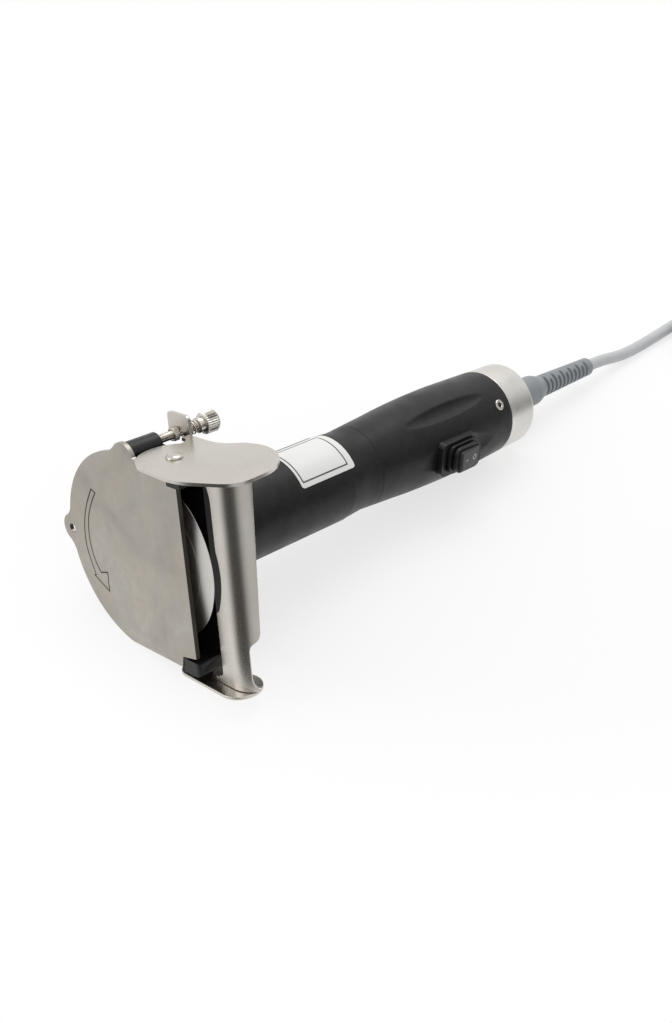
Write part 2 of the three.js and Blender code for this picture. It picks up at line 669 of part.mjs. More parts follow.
function topPlateOutline() {
  const shape = new THREE.Shape();
  const [front] = tangentAngle(PIVOT_X, PIVOT_Y, TOP_END_R, TOP_LOBE_X, TOP_LOBE_Y, TOP_LOBE_R);
  const tabBack = TAB_Y + SHEET;
  const stripFront = tabBack - STRIP_DEPTH;
  const lobeEnd = radians(128);
  const endStart = radians(133);
  shape.moveTo(PIVOT_X + TOP_END_R * Math.cos(front), PIVOT_Y + TOP_END_R * Math.sin(front));
  shape.absarc(TOP_LOBE_X, TOP_LOBE_Y, TOP_LOBE_R, front, lobeEnd, false);
  shape.quadraticCurveTo(PIVOT_X, tabBack, TAB_RIGHT_X + TOP_END_R / 2, tabBack);
  shape.lineTo(STRIP_LEFT_X, tabBack);
  shape.lineTo(STRIP_LEFT_X, stripFront);
  shape.lineTo(TAB_RIGHT_X, stripFront);
  const [endX, endY] = [PIVOT_X + TOP_END_R * Math.cos(endStart), PIVOT_Y + TOP_END_R * Math.sin(endStart)];
  shape.quadraticCurveTo(endX, stripFront, endX, endY);
  shape.absarc(PIVOT_X, PIVOT_Y, TOP_END_R, endStart, front + 2 * Math.PI, false);
  return shape;
}

function makeTopPlate() {
  const pivotHole = rod('Z', RIVET_R + FIT, topPlateZ - 1, topPlateZ + SHEET + 1, [PIVOT_X, PIVOT_Y]);
  const plate = slab(topPlateOutline(), 'Z', topPlateZ, topPlateZ + SHEET).subtract(pivotHole);
  const tabTop = topPlateZ + SHEET + TAB_HEIGHT;
  const tab = block([TAB_LEFT_X, TAB_Y, topPlateZ], [TAB_RIGHT_X, TAB_Y + SHEET, tabTop]);
  const slotR = SCREW_R + FIT;
  const slot = new THREE.Shape();
  slot.absarc(ADJUST_X + TAB_SLOT, ADJUST_Z, slotR, -Math.PI / 2, Math.PI / 2, false);
  slot.absarc(ADJUST_X - TAB_SLOT, ADJUST_Z, slotR, Math.PI / 2, 1.5 * Math.PI, false);
  return plate.add(tab).subtract(slab(slot, 'Y', TAB_Y - STRIP_DEPTH, TAB_Y + SHEET + 1, 6));
}

function makeLowPlate() {
  const [front, back] = tangentAngle(PIVOT_X, PIVOT_Y, LOW_END_R, LOW_LOBE_X, LOW_LOBE_Y, LOW_LOBE_R);
  const shape = new THREE.Shape();
  shape.absarc(LOW_LOBE_X, LOW_LOBE_Y, LOW_LOBE_R, front, back, false);
  shape.absarc(PIVOT_X, PIVOT_Y, LOW_END_R, back, front + 2 * Math.PI, false);
  const pivotHole = rod('Z', RIVET_R + FIT, lowPlateZ - SHEET - 1, lowPlateZ + 1, [PIVOT_X, PIVOT_Y]);
  return slab(shape, 'Z', lowPlateZ - SHEET, lowPlateZ, 2 * ARC_STEPS).subtract(pivotHole);
}

// The vane's sheet as it lies across the guide: flat by the blade, then bent round to the rear
function vaneSection() {
  const inner = VANE_BEND_R - SHEET;
  const bendY = VANE_FRONT_Y + VANE_BEND_R;
  const shape = new THREE.Shape();
  shape.moveTo(VANE_FOOT_X, VANE_FRONT_Y);
  shape.lineTo(VANE_BEND_X, VANE_FRONT_Y);
  shape.absarc(VANE_BEND_X, bendY, VANE_BEND_R, -Math.PI / 2, 0, false);
  shape.absarc(VANE_BEND_X, bendY, inner, 0, -Math.PI / 2, true);
  shape.lineTo(VANE_FOOT_X, VANE_FRONT_Y + SHEET);
  return shape;
}

// What is cut away from the vane beside the blade, in x and z
function vaneBladeCut(low, high) {
  const cut = new THREE.Shape();
  const r = BLADE_R + VANE_BLADE_ROOM;
  const top = Math.acos(VANE_EDGE_X / r);
  const stepZ = -r * Math.sin(Math.acos((VANE_EDGE_X + VANE_LOW_X) / 2 / r));
  const footZ = low + 1.5 * SHEET;
  const neckZ = footZ + 3 * SHEET;
  const left = VANE_FOOT_X - 10;
  cut.moveTo(left, high + 1);
  cut.lineTo(VANE_FOOT_X, high + 1);
  cut.bezierCurveTo(VANE_EDGE_X, high - SHEET, VANE_EDGE_X, high - 8 * SHEET, VANE_EDGE_X, high - 9 * SHEET);
  cut.lineTo(VANE_EDGE_X, r * Math.sin(top));
  cut.absarc(0, 0, r, top, Math.asin(stepZ / r), true);
  cut.lineTo(VANE_LOW_X, stepZ - SHEET);
  cut.lineTo(VANE_LOW_X, neckZ);
  cut.quadraticCurveTo(VANE_LOW_X, footZ, VANE_FOOT_X, footZ);
  cut.lineTo(left, footZ);
  return cut;
}

// What is cut away from the vane's rear edge, in y and z: a slow taper, then the neck above the foot
function vaneRearCut(low, high) {
  const cut = new THREE.Shape();
  const bendY = VANE_FRONT_Y + VANE_BEND_R;
  const onBend = (degrees) => bendY - VANE_BEND_R * Math.cos(radians(degrees));
  const back = bendY + VANE_BEND_R;
  const neckTop = low + VANE_NECK_TOP;
  const neckLow = low + VANE_NECK_LOW;
  cut.moveTo(back, high + 1);
  cut.lineTo(onBend(82), high + 1);
  cut.lineTo(onBend(69), neckTop);
  cut.quadraticCurveTo(onBend(45), neckTop - 2 * SHEET, onBend(45), neckTop - 5 * SHEET);
  cut.lineTo(onBend(45), neckLow);
  cut.quadraticCurveTo(onBend(45), low + SHEET, onBend(62), low + SHEET);
  cut.lineTo(onBend(62), low - 1);
  cut.lineTo(back, low - 1);
  return cut;
}

function makeVane() {
  const low = lowPlateZ + FIT;
  const high = topPlateZ - FIT;
  const sheet = slab(vaneSection(), 'Z', low, high, ARC_STEPS);
  const bladeSide = slab(vaneBladeCut(low, high), 'Y', 0, VANE_FRONT_Y + 2 * SHEET, ARC_STEPS);
  const rearSide = slab(vaneRearCut(low, high), 'X', VANE_BEND_X, VANE_BEND_X + VANE_BEND_R + 1, 5);
  return sheet.subtract(bladeSide).subtract(rearSide);
}

// Rivet along Z: side is 1 for a head on top and -1 for a head underneath
function makeRivet(faceZ, reach, headHeight, side) {
  const headZ = faceZ + side * FIT;
  const profile = [
    [0, -reach], [RIVET_R, -reach], [RIVET_R, 0], [RIVET_HEAD_R, 0], [0.9 * RIVET_HEAD_R, 0.55 * headHeight],
    [0.55 * RIVET_HEAD_R, 0.9 * headHeight], [0, headHeight],
  ];
  return turned(profile, SMALL_SIDES).rotate([side * 90, 0, 0]).translate([PIVOT_X, PIVOT_Y, headZ]);
}

// Thumb screw, drawn about its own axis

function makeThumbScrew() {
  const collarY = TAB_Y + SHEET + 2 * TAB_PLAY + SPRING_LENGTH;
  const knobY = collarY + COLLAR_LENGTH;
  const shank = ring(0, SCREW_R, SCREW_TIP_Y, collarY + 1, SMALL_SIDES);
  const collar = ring(0, COLLAR_R, collarY, knobY + 1, SMALL_SIDES);
  const ridge = (k) => onCircle(0, 0, KNOB_R - (k % 2) * KNURL_DEPTH, (180 * k) / KNURL_COUNT);
  const knurled = polygon(Array.from({ length: 2 * KNURL_COUNT }, (_, k) => ridge(k)));
  const knob = slab(knurled, 'Y', knobY, knobY + KNOB_LENGTH);
  return shank.add(collar).add(knob);
}

function makeStopNut() {
  const nutR = NUT_FLATS / Math.sqrt(3);
  const back = TAB_Y - TAB_PLAY;
  const nut = slab(roundPolygon(nutR, 6), 'Y', back - NUT_LENGTH, back);
  return nut.subtract(rod('Y', SCREW_R + FIT, 0, back + 1, [0, 0]));
}

// A coil spring: each end leaves its seat straight for one wire diameter, then eases into the curls
class SpringCurve extends THREE.Curve {
  getPoint(t, target = new THREE.Vector3()) {
    const straight = (2 * WIRE_R) / SPRING_LENGTH;
    const ease = SPRING_EASE;
    const whole = 1 - 2 * straight - ease;
    const eased = (u) => ease * (u ** 3 - u ** 4 / 2);
    const from = THREE.MathUtils.clamp((t - straight) / ease, 0, 1);
    const to = THREE.MathUtils.clamp((1 - straight - t) / ease, 0, 1);
    const steady = THREE.MathUtils.clamp(t - straight - ease, 0, whole - ease);
    const wound = eased(from) + steady + ease / 2 - eased(to);
    const angle = (2 * Math.PI * SPRING_CURLS * wound) / whole;
    return target.set(SPRING_R * Math.cos(angle), SPRING_LENGTH * t, SPRING_R * Math.sin(angle));
  }
}

// Motor

function makeTube() {
  return ring(tubeInR, TUBE_R, tubeFrontY, TUBE_END_Y);
}

// A bracket across the tube, with a pocket that the bearing drops into from the higher side
function makeBracket(low, length) {
  const [disc, high] = [low + BRACKET_DISC, low + length];
  const pocket = MOTOR_BEARING_R + FIT;
  const bossR = pocket + BRACKET_BOSS_WALL;
  const lip = SHAFT_R + 1;
  return turned([
    [lip, low], [tubeInR - FIT, low], [tubeInR - FIT, disc], [bossR, disc],
    [bossR, high], [pocket, high], [pocket, low + BRACKET_LIP], [lip, low + BRACKET_LIP],
  ]);
}

// The two brush wires pass through the rear bracket's disc
function makeRearBracket() {
  const [low, high] = [REAR_BRACKET_Y - 1, REAR_BRACKET_Y + BRACKET_DISC + 1];
  let bracket = makeBracket(REAR_BRACKET_Y, REAR_BRACKET_LENGTH);
  for (const side of [1, -1]) {
    bracket = bracket.subtract(rod('Y', WIRE_LEAD_R + FIT, low, high, [0, side * WIRE_CIRCLE], TINY_SIDES));
  }
  return bracket;
}

function makeStator() {
  const bore = ARMATURE_R + AIR_GAP;
  const room = COIL_HALF_ANGLE + 3;
  let stator = ring(bore, tubeInR - FIT, STACK_Y, stackEndY);
  for (const middle of [0, 180]) {
    stator = stator.subtract(sector(bore - 1, COIL_OUT_R + FIT, middle, room, STACK_Y - 1, stackEndY + 1));
  }
  return stator;
}

// Part of a ring about Y, half an angle to each side of its middle
function sector(innerR, outerR, middle, halfAngle, low, high) {
  const shape = new THREE.Shape();
  const [from, to] = [radians(middle - halfAngle), radians(middle + halfAngle)];
  shape.absarc(0, 0, outerR, from, to, false);
  shape.absarc(0, 0, innerR, to, from, true);
  return slab(shape, 'Y', low, high, 8);
}

function makeFieldCoil(middle) {
  return sector(COIL_IN_R, COIL_OUT_R, middle, COIL_HALF_ANGLE, STACK_Y - COIL_OVERHANG, stackEndY + COIL_OVERHANG);
}

function makeShaft() {
  const end = REAR_BRACKET_Y + REAR_BRACKET_LENGTH - 2 * FIT;
  return ring(0, SHAFT_R, COUPLING_JOINT_Y + FIT, end, SMALL_SIDES);
}

function makeArmatureCore() {
  const points = [];
  const step = 360 / ARMATURE_SLOTS;
  for (let k = 0; k < ARMATURE_SLOTS; k += 1) {
    const corners = [[-0.42, ARMATURE_R], [0, ARMATURE_R], [0.42, ARMATURE_R], [0.44, ARMATURE_R - SLOT_DEPTH],
      [0.56, ARMATURE_R - SLOT_DEPTH]];
    corners.forEach(([share, r]) => points.push(onCircle(0, 0, r, step * (k + share))));
  }
  const shaftRoom = rod('Y', SHAFT_R + FIT, STACK_Y - 1, stackEndY + 1, [0, 0]);
  return slab(polygon(points), 'Y', STACK_Y, stackEndY).subtract(shaftRoom);
}

function makeWindingHead(low) {
  const high = low + WINDING_LENGTH;
  const bore = SHAFT_R + FIT;
  const soft = 0.3 * WINDING_LENGTH;
  return turned([
    [bore, low], [WINDING_R - soft, low], [WINDING_R, low + soft], [WINDING_R, high - soft],
    [WINDING_R - soft, high], [bore, high],
  ], SMALL_SIDES);
}

function makeCommutator() {
  const end = COMMUTATOR_Y + COMMUTATOR_LENGTH;
  const groove = 0.5;
  const corner = (k) => onCircle(0, 0, COMMUTATOR_R - (k % 4 === 3 ? groove : 0), (360 * k) / (4 * COMMUTATOR_BARS));
  const outline = polygon(Array.from({ length: 4 * COMMUTATOR_BARS }, (_, k) => corner(k)));
  return slab(outline, 'Y', COMMUTATOR_Y, end).subtract(rod('Y', SHAFT_R + FIT, COMMUTATOR_Y - 1, end + 1, [0, 0]));
}

// Brush holder and brush on the side of +Z or -Z
function makeBrushHolder(side) {
  const [low, high] = [COMMUTATOR_Y + FIT, REAR_BRACKET_Y - FIT];
  const [near, far] = [COMMUTATOR_R + 4 * FIT, Math.hypot(tubeInR, HOLDER_WIDTH) - HOLDER_WIDTH / 2];
  const half = HOLDER_WIDTH / 2;
  const slotHalf = BRUSH_WIDTH / 2 + FIT;
  const middle = (low + high) / 2;
  const body = block([-half, low, near], [half, high, far]);
  const channel = block([-slotHalf, middle - slotHalf, near - 1], [slotHalf, middle + slotHalf, far - 2]);
  const holder = body.subtract(channel);
  return side > 0 ? holder : holder.rotate([0, 180, 0]);
}

function makeBrush(side) {
  const half = BRUSH_WIDTH / 2;
  const middle = (COMMUTATOR_Y + REAR_BRACKET_Y) / 2;
  const near = COMMUTATOR_R + FIT;
  const brush = block([-half, middle - half, near], [half, middle + half, near + BRUSH_LENGTH]);
  return side > 0 ? brush : brush.rotate([0, 180, 0]);
}

// Grip

function makeGripCollar() {
  const front = TUBE_END_Y + FIT;
  const nose = REAR_BRACKET_Y + BRACKET_DISC + FIT;
  return turned([
    [collarInR, nose], [tubeInR - FIT, nose], [tubeInR - FIT, front], [GRIP_COLLAR_FRONT_R, front],
    [GRIP_WAIST_R, GRIP_COLLAR_END_Y - GRIP_WAIST_BACK], [GRIP_COLLAR_END_R, GRIP_COLLAR_END_Y],
    [GRIP_SPIGOT_R, GRIP_COLLAR_END_Y],
    [GRIP_SPIGOT_R, GRIP_COLLAR_END_Y + GRIP_SPIGOT], [collarInR, GRIP_COLLAR_END_Y + GRIP_SPIGOT],
  ]);
}

function makeScoop(angle) {
  const sphere = new THREE.SphereGeometry(1, SMALL_SIDES, SMALL_SIDES / 2);
  const gripR = Math.max(...gripOutline.map(([, r]) => r));
  sphere.scale(SCOOP_ROUND, SCOOP_HALF, SCOOP_WIDTH).translate(gripR + SCOOP_ROUND - SCOOP_DEPTH, SCOOP_Y, 0);
  return aboutY(solidOf(sphere), angle);
}

function makeGripShell() {
  const bore = GRIP_SPIGOT_R + FIT;
  const ends = [[gripFrontY, GRIP_COLLAR_END_R], [gripBackY, GRIP_END_R]];
  const outside = [ends[0], ...gripOutline, ends[1]].map(([y, r]) => [r, y]);
  const inside = gripOutline.slice(1).map(([y, r]) => [r - GRIP_WALL, y]).reverse();
  const mouth = [[GRIP_END_R - GRIP_WALL, gripBackY], ...inside];
  const step = GRIP_COLLAR_END_Y + GRIP_SPIGOT + 2 * FIT;
  let shell = turned([...outside, ...mouth, [bore, step], [bore, gripFrontY]]);
  for (const turn of [-1, 0, 1]) {
    shell = shell.subtract(makeScoop(SWITCH_ANGLE + turn * SCOOP_SPREAD));
  }
  const [seatY, seatZ] = [BEZEL_LENGTH / 2 + FIT, BEZEL_WIDTH / 2 + FIT];
  const [holeY, holeZ] = [SWITCH_LENGTH / 2 + FIT, SWITCH_WIDTH / 2 + FIT];
  const seat = block([SEAT_X, SWITCH_Y - seatY, -seatZ], [2 * SEAT_X, SWITCH_Y + seatY, seatZ]);
  const hole = block([0, SWITCH_Y - holeY, -holeZ], [2 * SEAT_X, SWITCH_Y + holeY, holeZ]);
  shell = shell.subtract(aboutY(seat.add(hole), SWITCH_ANGLE));
  for (const angle of CAP_SCREW_ANGLES) {
    shell = shell.subtract(aboutY(capScrewRoom(), angle));
  }
  return shell;
}

// Radial screws through the grip into the end cap, drawn along X
function capScrewHeadX() {
  const share = (GRIP_END_Y - CAP_SCREW_Y) / (GRIP_END_Y - gripOutline.at(-1)[0]);
  return THREE.MathUtils.lerp(GRIP_END_R, gripOutline.at(-1)[1], share);
}

function makeCapScrew() {
  const top = capScrewHeadX();
  const head = rod('X', CAP_SCREW_HEAD_R, top - CAP_SCREW_HEAD, top, [CAP_SCREW_Y, 0], 16);
  const shank = rod('X', CAP_SCREW_R, CAP_IN_R, top - CAP_SCREW_HEAD + 0.5, [CAP_SCREW_Y, 0], 12);
  const socket = rod('X', 0.5 * CAP_SCREW_HEAD_R, top - 0.6 * CAP_SCREW_HEAD, top + 1, [CAP_SCREW_Y, 0], 6);
  return head.add(shank).subtract(socket);
}

function capScrewRoom() {
  const top = capScrewHeadX();
  const head = rod('X', CAP_SCREW_HEAD_R + FIT, top - CAP_SCREW_HEAD - FIT, top + 2, [CAP_SCREW_Y, 0], 16);
  return head.add(rod('X', CAP_SCREW_R + FIT, CAP_IN_R - 2, top, [CAP_SCREW_Y, 0], 12));
}

// Rocker switch, drawn with +X pointing out of the grip

function makeBezel() {
  const low = SEAT_X + FIT;
  const step = bezelTop - BEZEL_STEP;
  const base = slab(chamferedBox(BEZEL_LENGTH, BEZEL_WIDTH, BEZEL_CORNER), 'X', low, step);
  const lessLength = BEZEL_LENGTH - 1.4 * BEZEL_STEP;
  const lessWidth = BEZEL_WIDTH - 1.4 * BEZEL_STEP;
  const rim = slab(chamferedBox(lessLength, lessWidth, BEZEL_CORNER), 'X', step - 0.5, bezelTop);
  const [holeY, holeZ] = [SWITCH_LENGTH / 2 + FIT, SWITCH_WIDTH / 2 + FIT];
  return base.add(rim).subtract(block([low - 1, -holeY, -holeZ], [bezelTop + 1, holeY, holeZ]));
}

function makeSwitchBody() {
  const top = rockerBottom - 4 * FIT;
  const [y, z] = [SWITCH_LENGTH / 2, SWITCH_WIDTH / 2];
  return block([SEAT_X - SWITCH_DEPTH, -y, -z], [top, y, z]);
}

function makeBoot() {
  const low = bezelTop + FIT;
  const outer = slab(chamferedBox(BOOT_LENGTH, BOOT_WIDTH, 0.5 * BEZEL_CORNER), 'X', low, low + BOOT_RISE);
  const [y, z] = [ROCKER_LENGTH / 2 + ROCKER_ROOM, ROCKER_WIDTH / 2 + ROCKER_ROOM];
  return outer.subtract(block([low - 1, -y, -z], [low + BOOT_RISE + 1, y, z]));
}

// The rocker about its own pivot, before it is tipped
function makeRocker() {
  const shape = chamferedBox(ROCKER_LENGTH, ROCKER_WIDTH, 1);
  return slab(shape, 'X', -ROCKER_PIVOT, ROCKER_HEIGHT - ROCKER_PIVOT);
}

// End cap, strain relief, lead

function makeEndCap() {
  const bottom = CAP_END_Y - CAP_WALL;
  const neckBottom = CAP_NECK_Y - CAP_NECK_WALL;
  const holeR = RELIEF_NECK_R + FIT;
  const rounding = [0, 30, 60, 90].map((angle) => [
    CAP_END_R - CAP_ROUND * (1 - Math.cos(radians(angle))), CAP_END_Y - CAP_ROUND * (1 - Math.sin(radians(angle))),
  ]);
  let cap = turned([
    [CAP_IN_R, capFrontY], [capSpigotR, capFrontY], [capSpigotR, GRIP_END_Y], [GRIP_END_R, GRIP_END_Y],
    ...rounding, [CAP_NECK_R, CAP_END_Y], [CAP_NECK_TIP_R, CAP_NECK_Y], [holeR, CAP_NECK_Y], [holeR, neckBottom],
    [neckBoreR, neckBottom], [neckBoreR, bottom], [CAP_IN_R, bottom],
  ]);
  for (const angle of CAP_SCREW_ANGLES) {
    cap = cap.subtract(aboutY(capScrewRoom(), angle));
  }
  return cap;
}

function makeTerminalBlock() {
  const disc = ring(0, capSpigotR - FIT, terminalDiscY, terminalBackY);
  const [x, z] = [TERMINAL_WIDTH / 2, TERMINAL_HEIGHT / 2];
  return disc.add(block([-x, terminalFrontY, -z], [x, terminalDiscY + 1, z]));
}

function makeCordClamp() {
  const half = CAP_IN_R - FIT;
  const bar = block([-half, CLAMP_Y, -CLAMP_HEIGHT / 2], [half, CLAMP_Y + CLAMP_LENGTH, CLAMP_HEIGHT / 2]);
  const inside = rod('Y', half, CLAMP_Y - 1, CLAMP_Y + CLAMP_LENGTH + 1, [0, 0], SIDES);
  return bar.intersect(inside).subtract(rod('Y', leadBoreR, CLAMP_Y - 1, CLAMP_Y + CLAMP_LENGTH + 1, [0, 0], 16));
}

// Strain relief: a flange inside the cap, a domed base and a sleeve of ribs that thins to its tip
function makeStrainRelief() {
  const wallIn = CAP_NECK_Y - CAP_NECK_WALL - FIT;
  const baseY = CAP_NECK_Y + FIT;
  const domeY = baseY + RELIEF_BASE;
  const points = [
    [leadBoreR, wallIn - RELIEF_FLANGE], [RELIEF_FLANGE_R, wallIn - RELIEF_FLANGE], [RELIEF_FLANGE_R, wallIn],
    [RELIEF_NECK_R, wallIn], [RELIEF_NECK_R, baseY], [RELIEF_BASE_R, baseY],
    [RELIEF_BASE_R, domeY - 0.25 * RELIEF_BASE], [0.92 * RELIEF_BASE_R, domeY], [RELIEF_SLEEVE_R, RELIEF_SLEEVE_Y],
  ];
  const ribEnd = RELIEF_END_Y - RELIEF_TIP;
  const pitch = (ribEnd - RELIEF_SLEEVE_Y) / RELIEF_RIBS;
  for (let k = 0; k < RELIEF_RIBS; k += 1) {
    const y = RELIEF_SLEEVE_Y + k * pitch;
    const r = THREE.MathUtils.lerp(RELIEF_SLEEVE_R, RELIEF_TIP_R, k / RELIEF_RIBS);
    points.push([r, y + 0.3 * pitch], [r - RIB_DEPTH, y + 0.4 * pitch]);
    points.push([r - RIB_DEPTH, y + 0.8 * pitch], [r, y + 0.9 * pitch]);
  }
  points.push([RELIEF_TIP_R, ribEnd], [RELIEF_TIP_R, RELIEF_END_Y], [leadBoreR, RELIEF_END_Y]);
  return turned(points, 12);
}

function makeInnerLead() {
  return ring(0, LEAD_R, terminalBackY + FIT, RELIEF_END_Y, 12);
}

function wireAlong(points, steps) {
  const curve = new THREE.CatmullRomCurve3(points.map((point) => new THREE.Vector3(...point)));
  return sweep(curve, WIRE_LEAD_R, 6, steps);
}

// Assembly

const tool = new THREE.Group();

const head = new THREE.Group();
tool.add(head);
addPiece(head, 'guard_plate', makeGuard(), STEEL);
addPiece(head, 'head_housing', makeHousing(), BLACK);
guardScrewPlaces().forEach((place, k) => addPiece(head, `guard_screw_${k + 1}`, makeGuardScrew(place), BRIGHT));
addPiece(head, 'guide_top_plate', makeTopPlate(), STEEL);
addPiece(head, 'guide_vane', makeVane(), STEEL);
addPiece(head, 'guide_bottom_plate', makeLowPlate(), STEEL);
addPiece(head, 'pivot_rivet_top', makeRivet(topPlateZ + SHEET, RIVET_DEPTH, RIVET_HEAD, 1), BRIGHT);
addPiece(head, 'pivot_rivet_bottom', makeRivet(lowPlateZ - SHEET, RIVET_DEPTH, RIVET_HEAD / 2, -1), BRIGHT);

const adjuster = new THREE.Group();
adjuster.position.set(ADJUST_X, 0, ADJUST_Z);
head.add(adjuster);
addPiece(adjuster, 'thumb_screw', makeThumbScrew(), BRIGHT);
addPiece(adjuster, 'stop_nut', makeStopNut(), BRIGHT);
const springCurve = new SpringCurve();
const spring = addPiece(adjuster, 'adjuster_spring', sweep(springCurve, WIRE_R, 5, 8 * SPRING_CURLS + 12), BRIGHT);
spring.position.y = TAB_Y + SHEET + TAB_PLAY;
console.log(`Spring's least gap to itself ${leastSelfGap(springCurve, WIRE_R, 40 * SPRING_CURLS).toFixed(2)} mm`);

const drive = new THREE.Group();
tool.add(drive);
const circlipY = CAVITY_BACK_Y + FIT;
const frontBearingY = BEARING_LAND_Y - FIT - FRONT_BEARING;
const rearBearingY = BEARING_LAND_Y + BEARING_LAND + FIT;
addPiece(drive, 'round_blade', makeBlade(), BRIGHT);
addPiece(drive, 'blade_nut', makeBladeNut(), STEEL);
addPiece(drive, 'drive_spindle', makeSpindle(), STEEL);
addPiece(drive, 'bearing_circlip', ring(CIRCLIP_IN_R, BEARING_R, circlipY, circlipY + CIRCLIP, SMALL_SIDES), IRON);
addPiece(drive, 'spindle_front_bearing', makeBearing(SPINDLE_R, BEARING_R, frontBearingY, FRONT_BEARING), BRIGHT);
addPiece(drive, 'spindle_rear_bearing', makeBearing(SPINDLE_R, BEARING_R, rearBearingY, REAR_BEARING), BRIGHT);
addPiece(drive, 'shaft_coupling', makeCoupling(), IRON);

const motor = new THREE.Group();
tool.add(motor);
const motorBearing = (y) => makeBearing(SHAFT_R, MOTOR_BEARING_R, y, MOTOR_BEARING);
addPiece(motor, 'motor_tube', makeTube(), BLACK);
addPiece(motor, 'motor_front_bracket', makeBracket(FRONT_BRACKET_Y, FRONT_BRACKET_LENGTH), ALUMINIUM);
addPiece(motor, 'motor_front_bearing', motorBearing(FRONT_BRACKET_Y + BRACKET_LIP + FIT), BRIGHT);
addPiece(motor, 'stator_core', makeStator(), IRON);
addPiece(motor, 'field_coil_1', makeFieldCoil(0), COPPER);
addPiece(motor, 'field_coil_2', makeFieldCoil(180), COPPER);
addPiece(motor, 'armature_shaft', makeShaft(), STEEL);
addPiece(motor, 'armature_core', makeArmatureCore(), IRON);
addPiece(motor, 'armature_winding_front', makeWindingHead(STACK_Y - FIT - WINDING_LENGTH), COPPER);
addPiece(motor, 'armature_winding_rear', makeWindingHead(stackEndY + FIT), COPPER);
addPiece(motor, 'commutator', makeCommutator(), COPPER);
[1, -1].forEach((side, k) => {
  addPiece(motor, `brush_holder_${k + 1}`, makeBrushHolder(side), MOULDED);
  addPiece(motor, `carbon_brush_${k + 1}`, makeBrush(side), CARBON);
});
addPiece(motor, 'motor_rear_bracket', makeRearBracket(), ALUMINIUM);
addPiece(motor, 'motor_rear_bearing', motorBearing(REAR_BRACKET_Y + BRACKET_LIP + FIT), BRIGHT);

const handle = new THREE.Group();
tool.add(handle);
addPiece(handle, 'grip_collar', makeGripCollar(), BLACK);
addPiece(handle, 'grip_shell', makeGripShell(), BLACK);
addPiece(handle, 'end_cap', makeEndCap(), ALUMINIUM);
CAP_SCREW_ANGLES.forEach((angle, k) => {
  addPiece(handle, `cap_screw_${k + 1}`, makeCapScrew(), BRIGHT).rotation.y = -radians(angle);
});
addPiece(handle, 'terminal_block', makeTerminalBlock(), MOULDED);
addPiece(handle, 'cord_clamp', makeCordClamp(), MOULDED);
addPiece(handle, 'strain_relief', makeStrainRelief(), GREY);
addPiece(handle, 'inner_lead', makeInnerLead(), GREY);

const rocker = new THREE.Group();
rocker.position.y = SWITCH_Y;
rocker.rotation.y = -radians(SWITCH_ANGLE);
handle.add(rocker);
addPiece(rocker, 'switch_bezel', makeBezel(), RUBBER);
addPiece(rocker, 'switch_body', makeSwitchBody(), RUBBER);
addPiece(rocker, 'switch_boot', makeBoot(), RUBBER);
const rockerCap = addPiece(rocker, 'switch_rocker', makeRocker(), RUBBER);
rockerCap.position.x = rockerBottom + ROCKER_PIVOT;
rockerCap.rotation.z = radians(ROCKER_TILT);

// Wires: motor to switch, motor to terminals, terminals to switch
const switchFrontY = SWITCH_Y - SWITCH_LENGTH / 2 - FIT;
const switchBackY = SWITCH_Y + SWITCH_LENGTH / 2 + FIT;
const switchMiddle = SEAT_X - SWITCH_DEPTH / 2;
const wireStartY = REAR_BRACKET_Y;
const motorWire = [
  [0, wireStartY, WIRE_CIRCLE], [0, wireStartY + WIRE_STRAIGHT, WIRE_CIRCLE], [0, switchFrontY - 32, WIRE_CIRCLE],
  [switchMiddle / 3, switchFrontY - 16, WIRE_CIRCLE / 2], [switchMiddle, switchFrontY - 5, 0],
  [switchMiddle, switchFrontY, 0],
];
addPiece(handle, 'motor_wire', wireAlong(motorWire, 16), RUBBER);
const returnEnd = terminalDiscY - FIT;
addPiece(handle, 'return_wire', rod('Y', WIRE_LEAD_R, wireStartY, returnEnd, [0, -WIRE_CIRCLE], 6), MOULDED);
const feedEnd = terminalFrontY - FIT;
addPiece(handle, 'feed_wire', rod('Y', WIRE_LEAD_R, switchBackY, feedEnd, [switchMiddle, 0], 6), RUBBER);

// Lead on the table

// The coil: straight in, spiralling to the middle, up one layer where it turns, out again and straight to the plug
class CoilCurve extends THREE.Curve {
  constructor() {
    super();
    const [x, y, z] = LEAD_ROUTE.at(-1);
    this.outerR = this.radiusAt(0);
    this.start = new THREE.Vector3(x, y + FIT, z);
    this.middle = new THREE.Vector3(x + this.outerR, y + FIT + 2 * LEAD_R, z);
    this.plugZ = PLUG_THICK / 2 + FIT;
    this.loops = 2 * LOOPS_PER_LAYER;
    this.turnLength = 2 * Math.PI * this.outerR;
    this.lengths = [(2 * LEAD_R) / this.turnLength, this.loops, TAIL / this.turnLength];
  }

  radiusAt(turns) {
    return LOOP_IN_R + LOOP_PITCH * (Math.hypot(turns - LOOPS_PER_LAYER, LOOP_SOFTNESS) - LOOP_SOFTNESS);
  }

  getPoint(t, target = new THREE.Vector3()) {
    const [straight, loops, tail] = this.lengths;
    const along = t * (straight + loops + tail);
    if (along < straight) {
      return target.set(this.start.x, this.start.y + along * this.turnLength, this.start.z);
    }
    const turns = Math.min(along - straight, loops);
    const angle = Math.PI * (1 - 2 * turns);
    const climbed = THREE.MathUtils.smoothstep(turns - LOOPS_PER_LAYER, -LOOP_CLIMB / 2, LOOP_CLIMB / 2);
    const r = this.radiusAt(turns);
    const topZ = this.middle.z + LOOP_LAYER * climbed;
    const out = (along - straight - turns) * this.turnLength;
    const z = topZ - (topZ - this.plugZ) * THREE.MathUtils.smoothstep(out, TAIL_LEVEL, TAIL - 2 * LEAD_R);
    return target.set(this.middle.x + r * Math.cos(angle) + out, this.middle.y + r * Math.sin(angle), z);
  }
}

